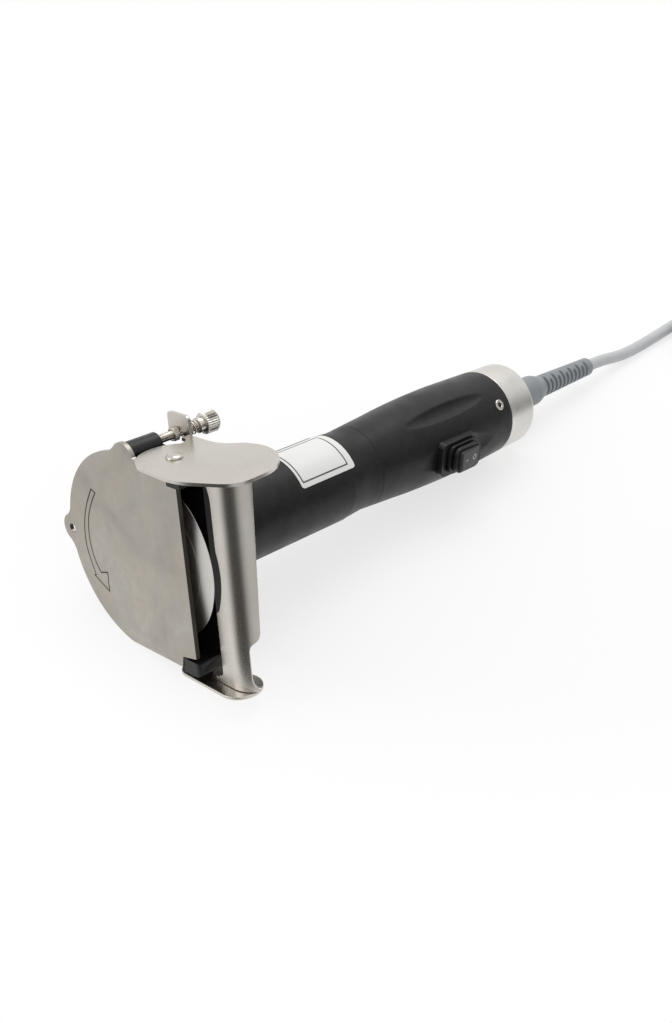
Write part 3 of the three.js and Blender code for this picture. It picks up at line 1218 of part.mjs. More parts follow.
// Least clear space between two stretches of one wound tube, measured on points along it
function leastSelfGap(curve, radius, count) {
  const points = curve.getSpacedPoints(count);
  const step = curve.getLength() / count;
  const apart = Math.ceil((4 * radius) / step);
  let least = Infinity;
  for (let i = 0; i < points.length; i += 1) {
    for (let j = i + apart; j < points.length; j += 1) {
      least = Math.min(least, points[i].distanceTo(points[j]));
    }
  }
  return least - 2 * radius;
}

function makeTie(coil) {
  const half = TIE_WIDTH / 2;
  const room = LEAD_R + FIT;
  const low = [coil.middle.x + LOOP_IN_R - room, coil.middle.y - half, coil.middle.z - room];
  const high = [coil.middle.x + coil.outerR + room, coil.middle.y + half, coil.middle.z + LOOP_LAYER + room];
  const opening = block([low[0], low[1] - 1, low[2]], [high[0], high[1] + 1, high[2]]);
  const wall = TIE_THICK;
  const outer = block([low[0] - wall, low[1], low[2] - wall], [high[0] + wall, high[1], high[2] + wall]);
  return outer.subtract(opening);
}

// Flat plug, drawn from the lead along +X
function makePlug() {
  const [b, w] = [PLUG_BACK / 2, PLUG_WIDTH / 2];
  const half = [[0, b], [0.2, b + 1], [0.5, 0.75 * w], [0.72, 0.95 * w], [0.8, w], [1, w - 1]];
  const points = half.map(([share, width]) => [share * PLUG_LENGTH, width]);
  const outline = polygon([...points, ...points.map(([x, width]) => [x, -width]).reverse()]);
  return slab(outline, 'Z', -PLUG_THICK / 2, PLUG_THICK / 2);
}

const lead = new THREE.Group();
const route = new THREE.CatmullRomCurve3(LEAD_ROUTE.map((point) => new THREE.Vector3(...point)));
const coil = new CoilCurve();
const coilSteps = Math.round(24 * coil.loops) + 6;
addPiece(lead, 'cord_run', sweep(route, LEAD_R, 8, 10), GREY);
addPiece(lead, 'cord_coil', sweep(coil, LEAD_R, 6, coilSteps), GREY);
addPiece(lead, 'cord_tie', makeTie(coil), RUBBER);
const plugGroup = new THREE.Group();
plugGroup.position.copy(coil.getPoint(1)).x += FIT;
lead.add(plugGroup);
addPiece(plugGroup, 'mains_plug', makePlug(), GREY);
[1, -1].forEach((side, k) => {
  const place = [(side * PIN_SPACING) / 2, 0];
  const pin = rod('X', PIN_R, PLUG_LENGTH + FIT, PLUG_LENGTH + PIN_LENGTH, place, TINY_SIDES);
  addPiece(plugGroup, `plug_pin_${k + 1}`, pin, BRIGHT);
});
const leadLength = route.getLength() + coil.getLength();
console.log(`Lead from relief to plug ${leadLength.toFixed(0)} mm`);
console.log(`Coil's least gap to itself ${leastSelfGap(coil, LEAD_R, 48 * Math.ceil(coil.loops)).toFixed(2)} mm`);

// The tool rests on the table: lowest point at z = 0, and the middle of its box over the origin
tool.rotation.set(radians(REST_PITCH), radians(REST_ROLL), 0);
tool.updateMatrixWorld(true);
const box = new THREE.Box3().setFromObject(tool, true);
const middle = box.getCenter(new THREE.Vector3());
tool.position.set(-middle.x, -middle.y, -box.min.z);

const slicer = new THREE.Group();
slicer.add(tool, lead);

export default slicer;
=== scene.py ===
"""Looks of a hand-held electric kebab slicer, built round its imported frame.

The tool is drawn on its own axes in millimetres: Y runs along the handle from the guard to the lead,
X points to the open side of the blade and Z to the side of the thumb screw.
"""

import json
import logging
import math
from collections.abc import Sequence
from dataclasses import dataclass
from enum import Enum

import bmesh
import bpy
from mathutils import Matrix, Vector


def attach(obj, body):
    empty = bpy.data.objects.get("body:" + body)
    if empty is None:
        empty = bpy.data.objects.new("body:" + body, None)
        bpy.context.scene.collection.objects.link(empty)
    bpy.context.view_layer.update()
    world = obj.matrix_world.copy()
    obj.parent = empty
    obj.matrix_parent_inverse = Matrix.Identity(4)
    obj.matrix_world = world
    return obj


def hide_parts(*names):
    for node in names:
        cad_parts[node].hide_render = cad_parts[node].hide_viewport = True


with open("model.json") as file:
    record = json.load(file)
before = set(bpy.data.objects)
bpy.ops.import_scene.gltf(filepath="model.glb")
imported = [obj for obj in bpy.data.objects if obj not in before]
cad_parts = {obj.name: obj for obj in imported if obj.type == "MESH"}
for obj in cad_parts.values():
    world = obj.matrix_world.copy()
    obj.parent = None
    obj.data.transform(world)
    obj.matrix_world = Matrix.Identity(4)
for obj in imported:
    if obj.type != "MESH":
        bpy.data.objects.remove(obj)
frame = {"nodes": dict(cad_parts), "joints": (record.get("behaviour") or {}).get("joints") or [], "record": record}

LOG = logging.getLogger("slicer")
MM = 0.001
PHOTO_HEIGHT = 1023

Point = tuple[float, float]
Spot = tuple[float, float, float]
Four = tuple[float, float, float, float]
Colour = tuple[float, float, float]
Node = bpy.types.Node
NodeTree = bpy.types.NodeTree
Socket = bpy.types.NodeSocket


class Body(Enum):
    """The moving bodies of the frame."""

    TOOL = "tool"
    ROTOR = "rotor"
    GUIDE = "depth_guide"
    FEED = "screw_feed"
    WHEEL = "thumb_wheel"
    ROCKER = "rocker"


class Facing(Enum):
    """Axes that the two sides and the depth of a flat outline lie along."""

    FRONT = (0, 2, 1)
    TOP = (0, 1, 2)
    SIDE = (1, 2, 0)

    def spot(self, across: float, upward: float, depth: float) -> Vector:
        """Places a point of an outline in the tool.

        Args:
            across: First coordinate of the outline.
            upward: Second coordinate of the outline.
            depth: Distance along the remaining axis.

        Returns:
            The point in the tool's axes.
        """
        spot = Vector((0.0, 0.0, 0.0))
        for axis, value in zip(self.value, (across, upward, depth)):
            spot[axis] = value
        return spot


def tool_place() -> Matrix:
    """Where the tool lies in the row frame.

    Returns:
        The matrix from the tool's axes in millimetres to the row frame in metres.
    """
    joints = {joint["name"]: joint for joint in frame["joints"]}
    along = Vector(joints["blade_spin"]["axis"]).normalized()
    up = Vector(joints["guide_swing"]["axis"]).normalized()
    place = Matrix((along.cross(up), along, up)).transposed().to_4x4()
    place.translation = Vector(joints["blade_spin"]["pos_m"])
    return place @ Matrix.Scale(MM, 4)


PLACE = tool_place()


def ease(value: float, low: float, high: float) -> float:
    """Smooth step from 0 at low to 1 at high.

    Args:
        value: Where to take the step.
        low: Where it starts.
        high: Where it ends.

    Returns:
        A number from 0 to 1.
    """
    share = min(max((value - low) / (high - low), 0.0), 1.0)
    return share * share * (3 - 2 * share)


def inside(spot: Vector, space: tuple[Spot, Spot]) -> bool:
    """Whether a point lies in a space.

    Args:
        spot: The point.
        space: Lower and upper corner of the space.

    Returns:
        True where it does.
    """
    return all(low <= value <= high for low, value, high in zip(space[0], spot, space[1]))


def on_circle(centre: Point, radius: float, degrees: float) -> Point:
    """A point on a circle.

    Args:
        centre: Middle of the circle.
        radius: Its radius.
        degrees: Direction from the middle.

    Returns:
        The point.
    """
    angle = math.radians(degrees)
    return (centre[0] + radius * math.cos(angle), centre[1] + radius * math.sin(angle))


def arc(centre: Point, radius: float, start: float, end: float, step: float = 4.0) -> list[Point]:
    """Points along an arc, both ends included.

    Args:
        centre: Middle of the arc.
        radius: Its radius.
        start: Direction of its first point, in degrees.
        end: Direction of its last point, in degrees.
        step: About how many degrees lie between two points.

    Returns:
        The points.
    """
    count = max(2, round(abs(end - start) / step))
    return [on_circle(centre, radius, start + (end - start) * k / count) for k in range(count + 1)]


def circle(centre: Point, radius: float, step: float = 10.0) -> list[Point]:
    """Points round a circle, each once.

    Args:
        centre: Middle of the circle.
        radius: Its radius.
        step: About how many degrees lie between two points.

    Returns:
        The points.
    """
    return arc(centre, radius, 0, 360, step)[:-1]


def curved(points: Sequence[Point], steps: int = 8) -> list[Point]:
    """Points along a Bezier curve, without its first point.

    Args:
        points: Its two ends with one or two control points between them.
        steps: Pieces of the curve.

    Returns:
        The points.
    """
    out = []
    for k in range(1, steps + 1):
        layer = [Vector(point) for point in points]
        while len(layer) > 1:
            layer = [a.lerp(b, k / steps) for a, b in zip(layer, layer[1:])]
        out.append(tuple(layer[0]))
    return out


def rounded_box(length: float, width: float, corner: float) -> list[Point]:
    """A rectangle with round corners about the origin.

    Args:
        length: Size along the first coordinate.
        width: Size along the second coordinate.
        corner: Radius of the corners.

    Returns:
        Its outline.
    """
    a, b = length / 2 - corner, width / 2 - corner
    out: list[Point] = []
    for k, middle in enumerate(((a, b), (-a, b), (-a, -b), (a, -b))):
        out += arc(middle, corner, 90 * k, 90 * k + 90, 15)
    return out


def two_circles(a: Point, ra: float, b: Point, rb: float) -> list[Point]:
    """Outline of two circles with the lines that touch both.

    Args:
        a: Middle of the first circle.
        ra: Its radius.
        b: Middle of the second circle.
        rb: Its radius.

    Returns:
        The outline.
    """
    along = math.degrees(math.atan2(b[1] - a[1], b[0] - a[0]))
    lean = math.degrees(math.acos((ra - rb) / math.dist(a, b)))
    return arc(b, rb, along - lean, along + lean) + arc(a, ra, along + lean, along - lean + 360)


def through(points: Sequence[Spot], steps: int) -> list[Vector]:
    """A smooth curve through points.

    Args:
        points: The points that it goes through.
        steps: Pieces between two of them.

    Returns:
        The points of the curve.
    """
    knots = [Vector(point) for point in points]
    knots = [2 * knots[0] - knots[1], *knots, 2 * knots[-1] - knots[-2]]
    path = [knots[1]]
    for a, b, c, d in zip(knots, knots[1:], knots[2:], knots[3:]):
        for k in range(1, steps + 1):
            t = k / steps
            bent = 2 * a - 5 * b + 4 * c - d
            path.append(0.5 * (2 * b + (c - a) * t + bent * t * t + (3 * b - a - 3 * c + d) * t ** 3))
    return path


def smooth(points: Sequence[Point], steps: int) -> list[Point]:
    """A smooth flat curve through points.

    Args:
        points: The points that it goes through.
        steps: Pieces between two of them.

    Returns:
        The points of the curve.
    """
    return [(spot.x, spot.y) for spot in through([(*point, 0.0) for point in points], steps)]


@dataclass
class Tree:
    """A node tree with a short call to add a node.

    Attributes:
        nodes: The tree itself.
    """

    nodes: NodeTree

    def add(self, kind: str, values: dict[str | int, object] | None = None,
            **settings: object) -> Node:
        """Adds a node.

        Args:
            kind: Type of the node.
            values: What each input holds, a value or the socket that feeds it.
            settings: Properties of the node.

        Returns:
            The node.
        """
        node = self.nodes.nodes.new(kind)
        for key, value in settings.items():
            setattr(node, key, value)
        for key, value in (values or {}).items():
            if isinstance(value, Socket):
                self.link(value, node.inputs[key])
            else:
                node.inputs[key].default_value = value
        return node

    def mix(self, share: object, a: object, b: object) -> Socket:
        """Mixes two colours, each three numbers or a socket, by a share of the second."""
        a, b = (c if isinstance(c, Socket) else (*c, 1.0) for c in (a, b))
        return self.add("ShaderNodeMix", {0: share, 6: a, 7: b}, data_type="RGBA").outputs[2]

    def spread(self, value: Socket, low: float, high: float,
               source: Point = (0.0, 1.0)) -> Socket:
        """Maps a value from a source range to the range from low to high."""
        values = {"Value": value, 1: source[0], 2: source[1], 3: low, 4: high}
        return self.add("ShaderNodeMapRange", values).outputs["Result"]

    def group(self, group: NodeTree, values: dict[str, object]) -> Node:
        """Adds a node for one of the shared effects, with what its inputs hold."""
        return self.add("ShaderNodeGroup", values, node_tree=group)

    def link(self, source: Socket, target: Socket) -> None:
        """Joins an output to an input."""
        self.nodes.links.new(source, target)

    def tool_space(self) -> Socket:
        """The tool's own axes in millimetres, worked out from object coordinates.

        Returns:
            The vector's socket.
        """
        back = PLACE.inverted()
        values = {
            "Vector": self.add("ShaderNodeTexCoord").outputs["Object"],
            "Location": tuple(back.translation),
            "Rotation": tuple(back.to_euler("XYZ")),
            "Scale": tuple(back.to_scale()),
        }
        return self.add("ShaderNodeMapping", values, vector_type="POINT").outputs["Vector"]


def start_group(name: str, inputs: dict[str, str],
                outputs: dict[str, str]) -> tuple[Tree, Node, Node]:
    """Starts a node group.

    Args:
        name: Name of the group.
        inputs: Type of each input by its name.
        outputs: Type of each output by its name.

    Returns:
        The group's tree, its input node and its output node.
    """
    group = bpy.data.node_groups.new(name, "ShaderNodeTree")
    for label, kind in inputs.items():
        group.interface.new_socket(label, in_out="INPUT", socket_type=f"NodeSocket{kind}")
    for label, kind in outputs.items():
        group.interface.new_socket(label, in_out="OUTPUT", socket_type=f"NodeSocket{kind}")
    tree = Tree(group)
    return tree, tree.add("NodeGroupInput"), tree.add("NodeGroupOutput")


class Effects:
    """Shader effects that several finishes share, each made once as a node group."""

    @staticmethod
    def grain() -> NodeTree:
        """Fine moulded grain.

        Returns:
            The group, with Vector, Scale and Depth in and Tone and Normal out.
        """
        found = bpy.data.node_groups.get("moulded_grain")
        if found:
            return found
        tree, given, out = start_group(
            "moulded_grain", {"Vector": "Vector", "Scale": "Float", "Depth": "Float"},
            {"Tone": "Float", "Normal": "Vector"},
        )
        vector, scale = given.outputs["Vector"], given.outputs["Scale"]
        grains = {"Vector": vector, "Scale": scale, "Detail": 3.0, "Roughness": 0.6}
        fine = tree.add("ShaderNodeTexNoise", grains).outputs["Fac"]
        broad = tree.add("ShaderNodeMath", {0: scale, 1: 0.12}, operation="MULTIPLY").outputs[0]
        patches = {"Vector": vector, "Scale": broad, "Detail": 2.0}
        patch = tree.add("ShaderNodeTexNoise", patches).outputs["Fac"]
        both = tree.add("ShaderNodeMath", {0: fine, 1: patch}, operation="MULTIPLY")
        tone = tree.spread(both.outputs[0], 0.0, 1.0, (0.12, 0.4))
        relief = {"Strength": given.outputs["Depth"], "Distance": 0.0002, "Height": fine}
        bump = tree.add("ShaderNodeBump", relief)
        tree.link(tone, out.inputs["Tone"])
        tree.link(bump.outputs["Normal"], out.inputs["Normal"])
        return tree.nodes

    @staticmethod
    def brushed() -> NodeTree:
        """Brush or turning marks, stretched along some axes.

        Returns:
            The group, with Vector, Stretch and Depth in and Tone and Normal out.
        """
        found = bpy.data.node_groups.get("brush_marks")
        if found:
            return found
        tree, given, out = start_group(
            "brush_marks", {"Vector": "Vector", "Stretch": "Vector", "Depth": "Float"},
            {"Tone": "Float", "Normal": "Vector"},
        )
        axes = {0: given.outputs["Vector"], 1: given.outputs["Stretch"]}
        stretched = tree.add("ShaderNodeVectorMath", axes, operation="MULTIPLY").outputs[0]
        strokes = {"Vector": stretched, "Scale": 1.0, "Detail": 6.0, "Roughness": 0.65}
        marks = tree.add("ShaderNodeTexNoise", strokes).outputs["Fac"]
        tone = tree.spread(marks, 0.0, 1.0, (0.3, 0.7))
        relief = {"Strength": given.outputs["Depth"], "Distance": 0.0001, "Height": marks}
        bump = tree.add("ShaderNodeBump", relief)
        tree.link(tone, out.inputs["Tone"])
        tree.link(bump.outputs["Normal"], out.inputs["Normal"])
        return tree.nodes

    @staticmethod
    def clouds() -> NodeTree:
        """Soft patches, as handling and cleaning leave them.

        Returns:
            The group, with Vector and Scale in and Mask out.
        """
        found = bpy.data.node_groups.get("soft_patches")
        if found:
            return found
        tree, given, out = start_group(
            "soft_patches", {"Vector": "Vector", "Scale": "Float"}, {"Mask": "Float"},
        )
        clouds = {name: given.outputs[name] for name in ("Vector", "Scale")}
        noise = tree.add("ShaderNodeTexNoise", clouds | {"Detail": 4.0, "Roughness": 0.55, "Distortion": 0.4})
        tree.link(tree.spread(noise.outputs["Fac"], 0.0, 1.0, (0.36, 0.64)), out.inputs["Mask"])
        return tree.nodes

    @staticmethod
    def edges() -> NodeTree:
        """Edges, found where a rounded normal leaves the real one: worn edges on mouldings, a painted highlight on
        bare metal.

        Returns:
            The group, with Width in and Mask out.
        """
        found = bpy.data.node_groups.get("edge_wear_and_painted_highlight")
        if found:
            return found
        tree, given, out = start_group("edge_wear_and_painted_highlight", {"Width": "Float"}, {"Mask": "Float"})
        soft = tree.add("ShaderNodeBevel", {"Radius": given.outputs["Width"]}, samples=4)
        real = tree.add("ShaderNodeNewGeometry")
        normals = {0: soft.outputs["Normal"], 1: real.outputs["Normal"]}
        same = tree.add("ShaderNodeVectorMath", normals, operation="DOT_PRODUCT")
        tree.link(tree.spread(same.outputs["Value"], 1.0, 0.0, (0.86, 0.995)), out.inputs["Mask"])
        return tree.nodes


@dataclass(frozen=True)
class Finish:
    """A procedural finish.

    Attributes:
        name: Name of the material.
        slot: The record's material slot.
        tone: Base colour.
        roughness: Mean roughness.
    """

    name: str
    slot: str
    tone: Colour
    roughness: float

    def material(self) -> bpy.types.Material:
        """The material, made on first use.

        Returns:
            The material.
        """
        found = bpy.data.materials.get(self.name)
        if found:
            return found
        material = bpy.data.materials.new(self.name)
        material.use_nodes = True
        tree = Tree(material.node_tree)
        self.paint(tree, material.node_tree.nodes["Principled BSDF"])
        return material

    def shade(self, factor: float, warm: float = 0.0) -> Colour:
        """The base colour times a factor, and warmer by a share."""
        red, green, blue = self.tone
        return (red * factor * (1 + warm), green * factor, blue * factor * (1 - warm))

    def paint(self, tree: Tree, surface: Node) -> None:
        """Joins the finish's nodes to the surface."""
        raise NotImplementedError


@dataclass(frozen=True)
class Metal(Finish):
    """Bare metal with brush or turning marks, patches and a painted highlight along its edges.

    Attributes:
        stretch: How closely the marks follow each other along each axis, per millimetre.
        depth: Depth of the marks.
        patches: How strong the patches are.
        edge: Width of the painted highlight along the edges, in millimetres.
        vary: How far the roughness varies.
    """

    stretch: Spot = (0.4, 0.4, 6.0)
    depth: float = 0.05
    patches: float = 0.07
    edge: float = 0.4
    vary: float = 0.06

    def paint(self, tree: Tree, surface: Node) -> None:
        """Joins the finish's nodes to the surface.

        Args:
            tree: The material's tree.
            surface: Its surface shader.
        """
        spots = tree.tool_space()
        marks = tree.group(Effects.brushed(), {"Vector": spots, "Stretch": self.stretch, "Depth": self.depth})
        broad = tree.group(Effects.clouds(), {"Vector": spots, "Scale": 0.03})
        small = tree.group(Effects.clouds(), {"Vector": spots, "Scale": 0.22})
        edges = tree.group(Effects.edges(), {"Width": self.edge * MM})
        warm = tree.group(Effects.clouds(), {"Vector": spots, "Scale": 0.055})
        dark, light = self.shade(1 - self.patches, 0.01), self.shade(1 + self.patches, -0.01)
        colour = tree.mix(broad.outputs["Mask"], dark, light)
        # The last mask below paints a highlight along the edges.
        for mask, share, shade in (
            (warm.outputs["Mask"], 0.7, self.shade(1.0, 0.5 * self.patches)),
            (small.outputs["Mask"], 0.4, self.shade(1 - 0.6 * self.patches)),
            (marks.outputs["Tone"], 0.35, self.shade(1 + self.patches)),
            (edges.outputs["Mask"], 0.7, self.shade(1.25)),
        ):
            colour = tree.mix(tree.spread(mask, 0.0, share), colour, shade)
        rough = tree.spread(marks.outputs["Tone"], self.roughness + self.vary, self.roughness - self.vary)
        surface.inputs["Metallic"].default_value = 1.0
        tree.link(colour, surface.inputs["Base Color"])
        tree.link(rough, surface.inputs["Roughness"])
        tree.link(marks.outputs["Normal"], surface.inputs["Normal"])


@dataclass(frozen=True)
class SheetWithPaintedEdgeReflection(Metal):
    """Sheet metal with a painted dark reflection along one cut edge.

    Attributes:
        cut: Where the cut edge with the painted dark reflection lies along the tool's X.
    """

    cut: float = 0.0

    def paint(self, tree: Tree, surface: Node) -> None:
        """Joins the finish's nodes to the surface.

        Args:
            tree: The material's tree.
            surface: Its surface shader.
        """
        super().paint(tree, surface)
        # Painted reflection: near X = cut the colour falls to a tenth of the tone, standing for the dark gap that
        # the edge mirrors.
        across = tree.add("ShaderNodeSeparateXYZ", {0: tree.tool_space()}).outputs["X"]
        mask = tree.spread(across, 0.0, 0.9, (self.cut - 0.3, self.cut - 0.1))
        colour = surface.inputs["Base Color"]
        tree.link(tree.mix(mask, colour.links[0].from_socket, self.shade(0.1)), colour)


@dataclass(frozen=True)
class Moulding(Finish):
    """Moulded plastic or rubber with a fine grain, handling marks and paler edges.

    Attributes:
        grain: Grains to a millimetre.
        depth: Depth of the grain.
        sheen: Specular level.
        edge: Width of the paler edges, in millimetres.
        speckle: How far the colour varies.
    """

    grain: float = 1.6
    depth: float = 0.25
    sheen: float = 0.45
    edge: float = 0.5
    speckle: float = 0.25

    def paint(self, tree: Tree, surface: Node) -> None:
        """Joins the finish's nodes to the surface.

        Args:
            tree: The material's tree.
            surface: Its surface shader.
        """
        spots = tree.tool_space()
        grain = tree.group(Effects.grain(), {"Vector": spots, "Scale": self.grain, "Depth": self.depth})
        marks = tree.group(Effects.clouds(), {"Vector": spots, "Scale": 0.06})
        edges = tree.group(Effects.edges(), {"Width": self.edge * MM})
        base = tree.mix(grain.outputs["Tone"], self.shade(1 - self.speckle), self.shade(1 + self.speckle))
        dust, wear = self.shade(1 + 1.2 * self.speckle, 0.02), self.shade(1 + 3 * self.speckle)
        dusty = tree.mix(tree.spread(marks.outputs["Mask"], 0.0, 0.3), base, dust)
        worn = tree.mix(tree.spread(edges.outputs["Mask"], 0.0, 0.35), dusty, wear)
        rough = tree.spread(marks.outputs["Mask"], self.roughness + 0.06, self.roughness - 0.06)
        surface.inputs["Specular IOR Level"].default_value = self.sheen
        tree.link(worn, surface.inputs["Base Color"])
        tree.link(rough, surface.inputs["Roughness"])
        tree.link(grain.outputs["Normal"], surface.inputs["Normal"])


# SHEET and GUIDE_SHEET are one stainless steel with different brushing and roughness; the guard's darker tone is
# painted shade and the guide's lighter tone painted light.
SHEET = SheetWithPaintedEdgeReflection(
    "satin_sheet", "stainless_sheet", tone=(0.4, 0.38, 0.345), roughness=0.38, stretch=(0.5, 0.5, 4.0),
    depth=0.06, patches=0.21, edge=0.2, cut=28.85,
)
GUIDE_SHEET = Metal(
    "satin_guide", "stainless_sheet", tone=(0.61, 0.585, 0.54), roughness=0.27,
    stretch=(3.0, 3.0, 0.25), depth=0.01, patches=0.08, edge=0.4, vary=0.02,
)
BLADE = Metal(
    "ground_blade", "blade_steel", tone=(0.7, 0.69, 0.66), roughness=0.36, stretch=(0.9, 0.9, 0.9),
    depth=0.02, patches=0.06, edge=0.4, vary=0.03,
)
BRIGHT = Metal(
    "bright_steel_look", "bright_steel", tone=(0.6, 0.57, 0.52), roughness=0.24,
    stretch=(1.0, 5.0, 1.0), depth=0.06, patches=0.07, edge=0.25,
)
SHAFT = Metal(
    "turned_shaft", "shaft_steel", tone=(0.5, 0.5, 0.5), roughness=0.3, stretch=(0.2, 8.0, 0.2),
    depth=0.08,
)
BEARING = Metal(
    "polished_bearing", "bearing_steel", tone=(0.66, 0.66, 0.66), roughness=0.2,
    stretch=(0.3, 6.0, 0.3), depth=0.04,
)
CAP = Metal(
    "turned_aluminium", "cap_aluminium", tone=(0.69, 0.69, 0.67), roughness=0.36,
    stretch=(0.12, 3.0, 0.12), depth=0.2, patches=0.2, edge=0.6, vary=0.1,
)
CAST = Metal(
    "cast_aluminium", "bracket_aluminium", tone=(0.62, 0.62, 0.62), roughness=0.48,
    stretch=(1.5, 1.5, 1.5), depth=0.2,
)
IRON = Metal(
    "laminated_iron", "core_iron", tone=(0.24, 0.24, 0.25), roughness=0.5, stretch=(0.02, 3.0, 0.02),
    depth=0.4, patches=0.12,
)
COPPER = Metal(
    "enamelled_copper", "copper", tone=(0.62, 0.3, 0.14), roughness=0.32, stretch=(4.0, 0.4, 4.0),
    depth=0.35, patches=0.12,
)
BLACK = Moulding(
    "black_moulding", "black_plastic", tone=(0.0095, 0.0095, 0.0095), roughness=0.39, grain=1.5,
    depth=0.6, sheen=0.27, edge=0.5, speckle=0.5,
)
HEAD = Moulding(
    "head_moulding", "black_plastic", tone=(0.0065, 0.0065, 0.0065), roughness=0.36, grain=1.8,
    depth=0.3, sheen=0.34, edge=0.5, speckle=0.4,
)
SWITCH = Moulding(
    "switch_moulding", "switch_plastic", tone=(0.006, 0.006, 0.0062), roughness=0.42, grain=2.4,
    depth=0.08, sheen=0.46, edge=0.35,
)
ROCKER = Moulding(
    "rocker_face", "switch_plastic", tone=(0.024, 0.024, 0.025), roughness=0.42, grain=2.4, depth=0.06,
    sheen=0.5, edge=0.3,
)
BOOT = Moulding(
    "boot_skin", "boot_rubber", tone=(0.006, 0.006, 0.0062), roughness=0.4, grain=2.0, depth=0.12,
    sheen=0.38, edge=0.4,
)
GREY = Moulding(
    "grey_sleeve", "grey_rubber", tone=(0.235, 0.25, 0.265), roughness=0.46, grain=1.8, depth=0.12,
    sheen=0.4, edge=0.4, speckle=0.08,
)
LEAD = Moulding(
    "lead_sleeve", "grey_rubber", tone=(0.47, 0.48, 0.495), roughness=0.46, grain=1.8, depth=0.08,
    sheen=0.4, edge=0.4, speckle=0.06,
)
PALE = Moulding(
    "pale_moulding_look", "pale_moulding", tone=(0.62, 0.57, 0.46), roughness=0.45, grain=1.2,
    depth=0.15, sheen=0.45, edge=0.4,
)
CARBON = Moulding(
    "carbon_block", "carbon", tone=(0.03, 0.03, 0.031), roughness=0.7, grain=3.0, depth=0.4, sheen=0.3,
    edge=0.3,
)
WIRE = Moulding(
    "wire_skin", "wire_sleeve", tone=(0.05, 0.05, 0.055), roughness=0.4, grain=2.0, depth=0.1,
    sheen=0.45, edge=0.2,
)
PAPER = Moulding(
    "label_film", "pale_moulding", tone=(0.72, 0.72, 0.705), roughness=0.4, grain=0.8, depth=0.03,
    sheen=0.5, edge=0.15, speckle=0.02,
)
INK = Moulding(
    "label_ink", "black_plastic", tone=(0.09, 0.085, 0.08), roughness=0.5, grain=1.0, depth=0.05,
    sheen=0.4, edge=0.1, speckle=0.1,
)
MARK = Moulding(
    "switch_mark", "pale_moulding", tone=(0.42, 0.44, 0.47), roughness=0.45, grain=1.0, depth=0.05,
    sheen=0.4, edge=0.1, speckle=0.05,
)
ETCH = Moulding(
    "etched_line", "stainless_sheet", tone=(0.075, 0.06, 0.048), roughness=0.6, grain=1.2, depth=0.1,
    sheen=0.3, edge=0.1,
)

BY_SLOT: dict[str, Finish] = {
    finish.slot: finish
    for finish in (
        SHEET, BLADE, BRIGHT, SHAFT, BEARING, CAP, CAST, IRON, COPPER, BLACK, SWITCH, BOOT, GREY, PALE,
        CARBON, WIRE,
    )
}


# Corners of a CAD node closer than this are merged, in millimetres
NODE_MERGE = 0.002
# Its faces that turn by less than this are joined, in degrees
NODE_FLAT = 1.0
# Corners of a spun outline closer than this are merged, in millimetres
SEAM_MERGE = 1e-4


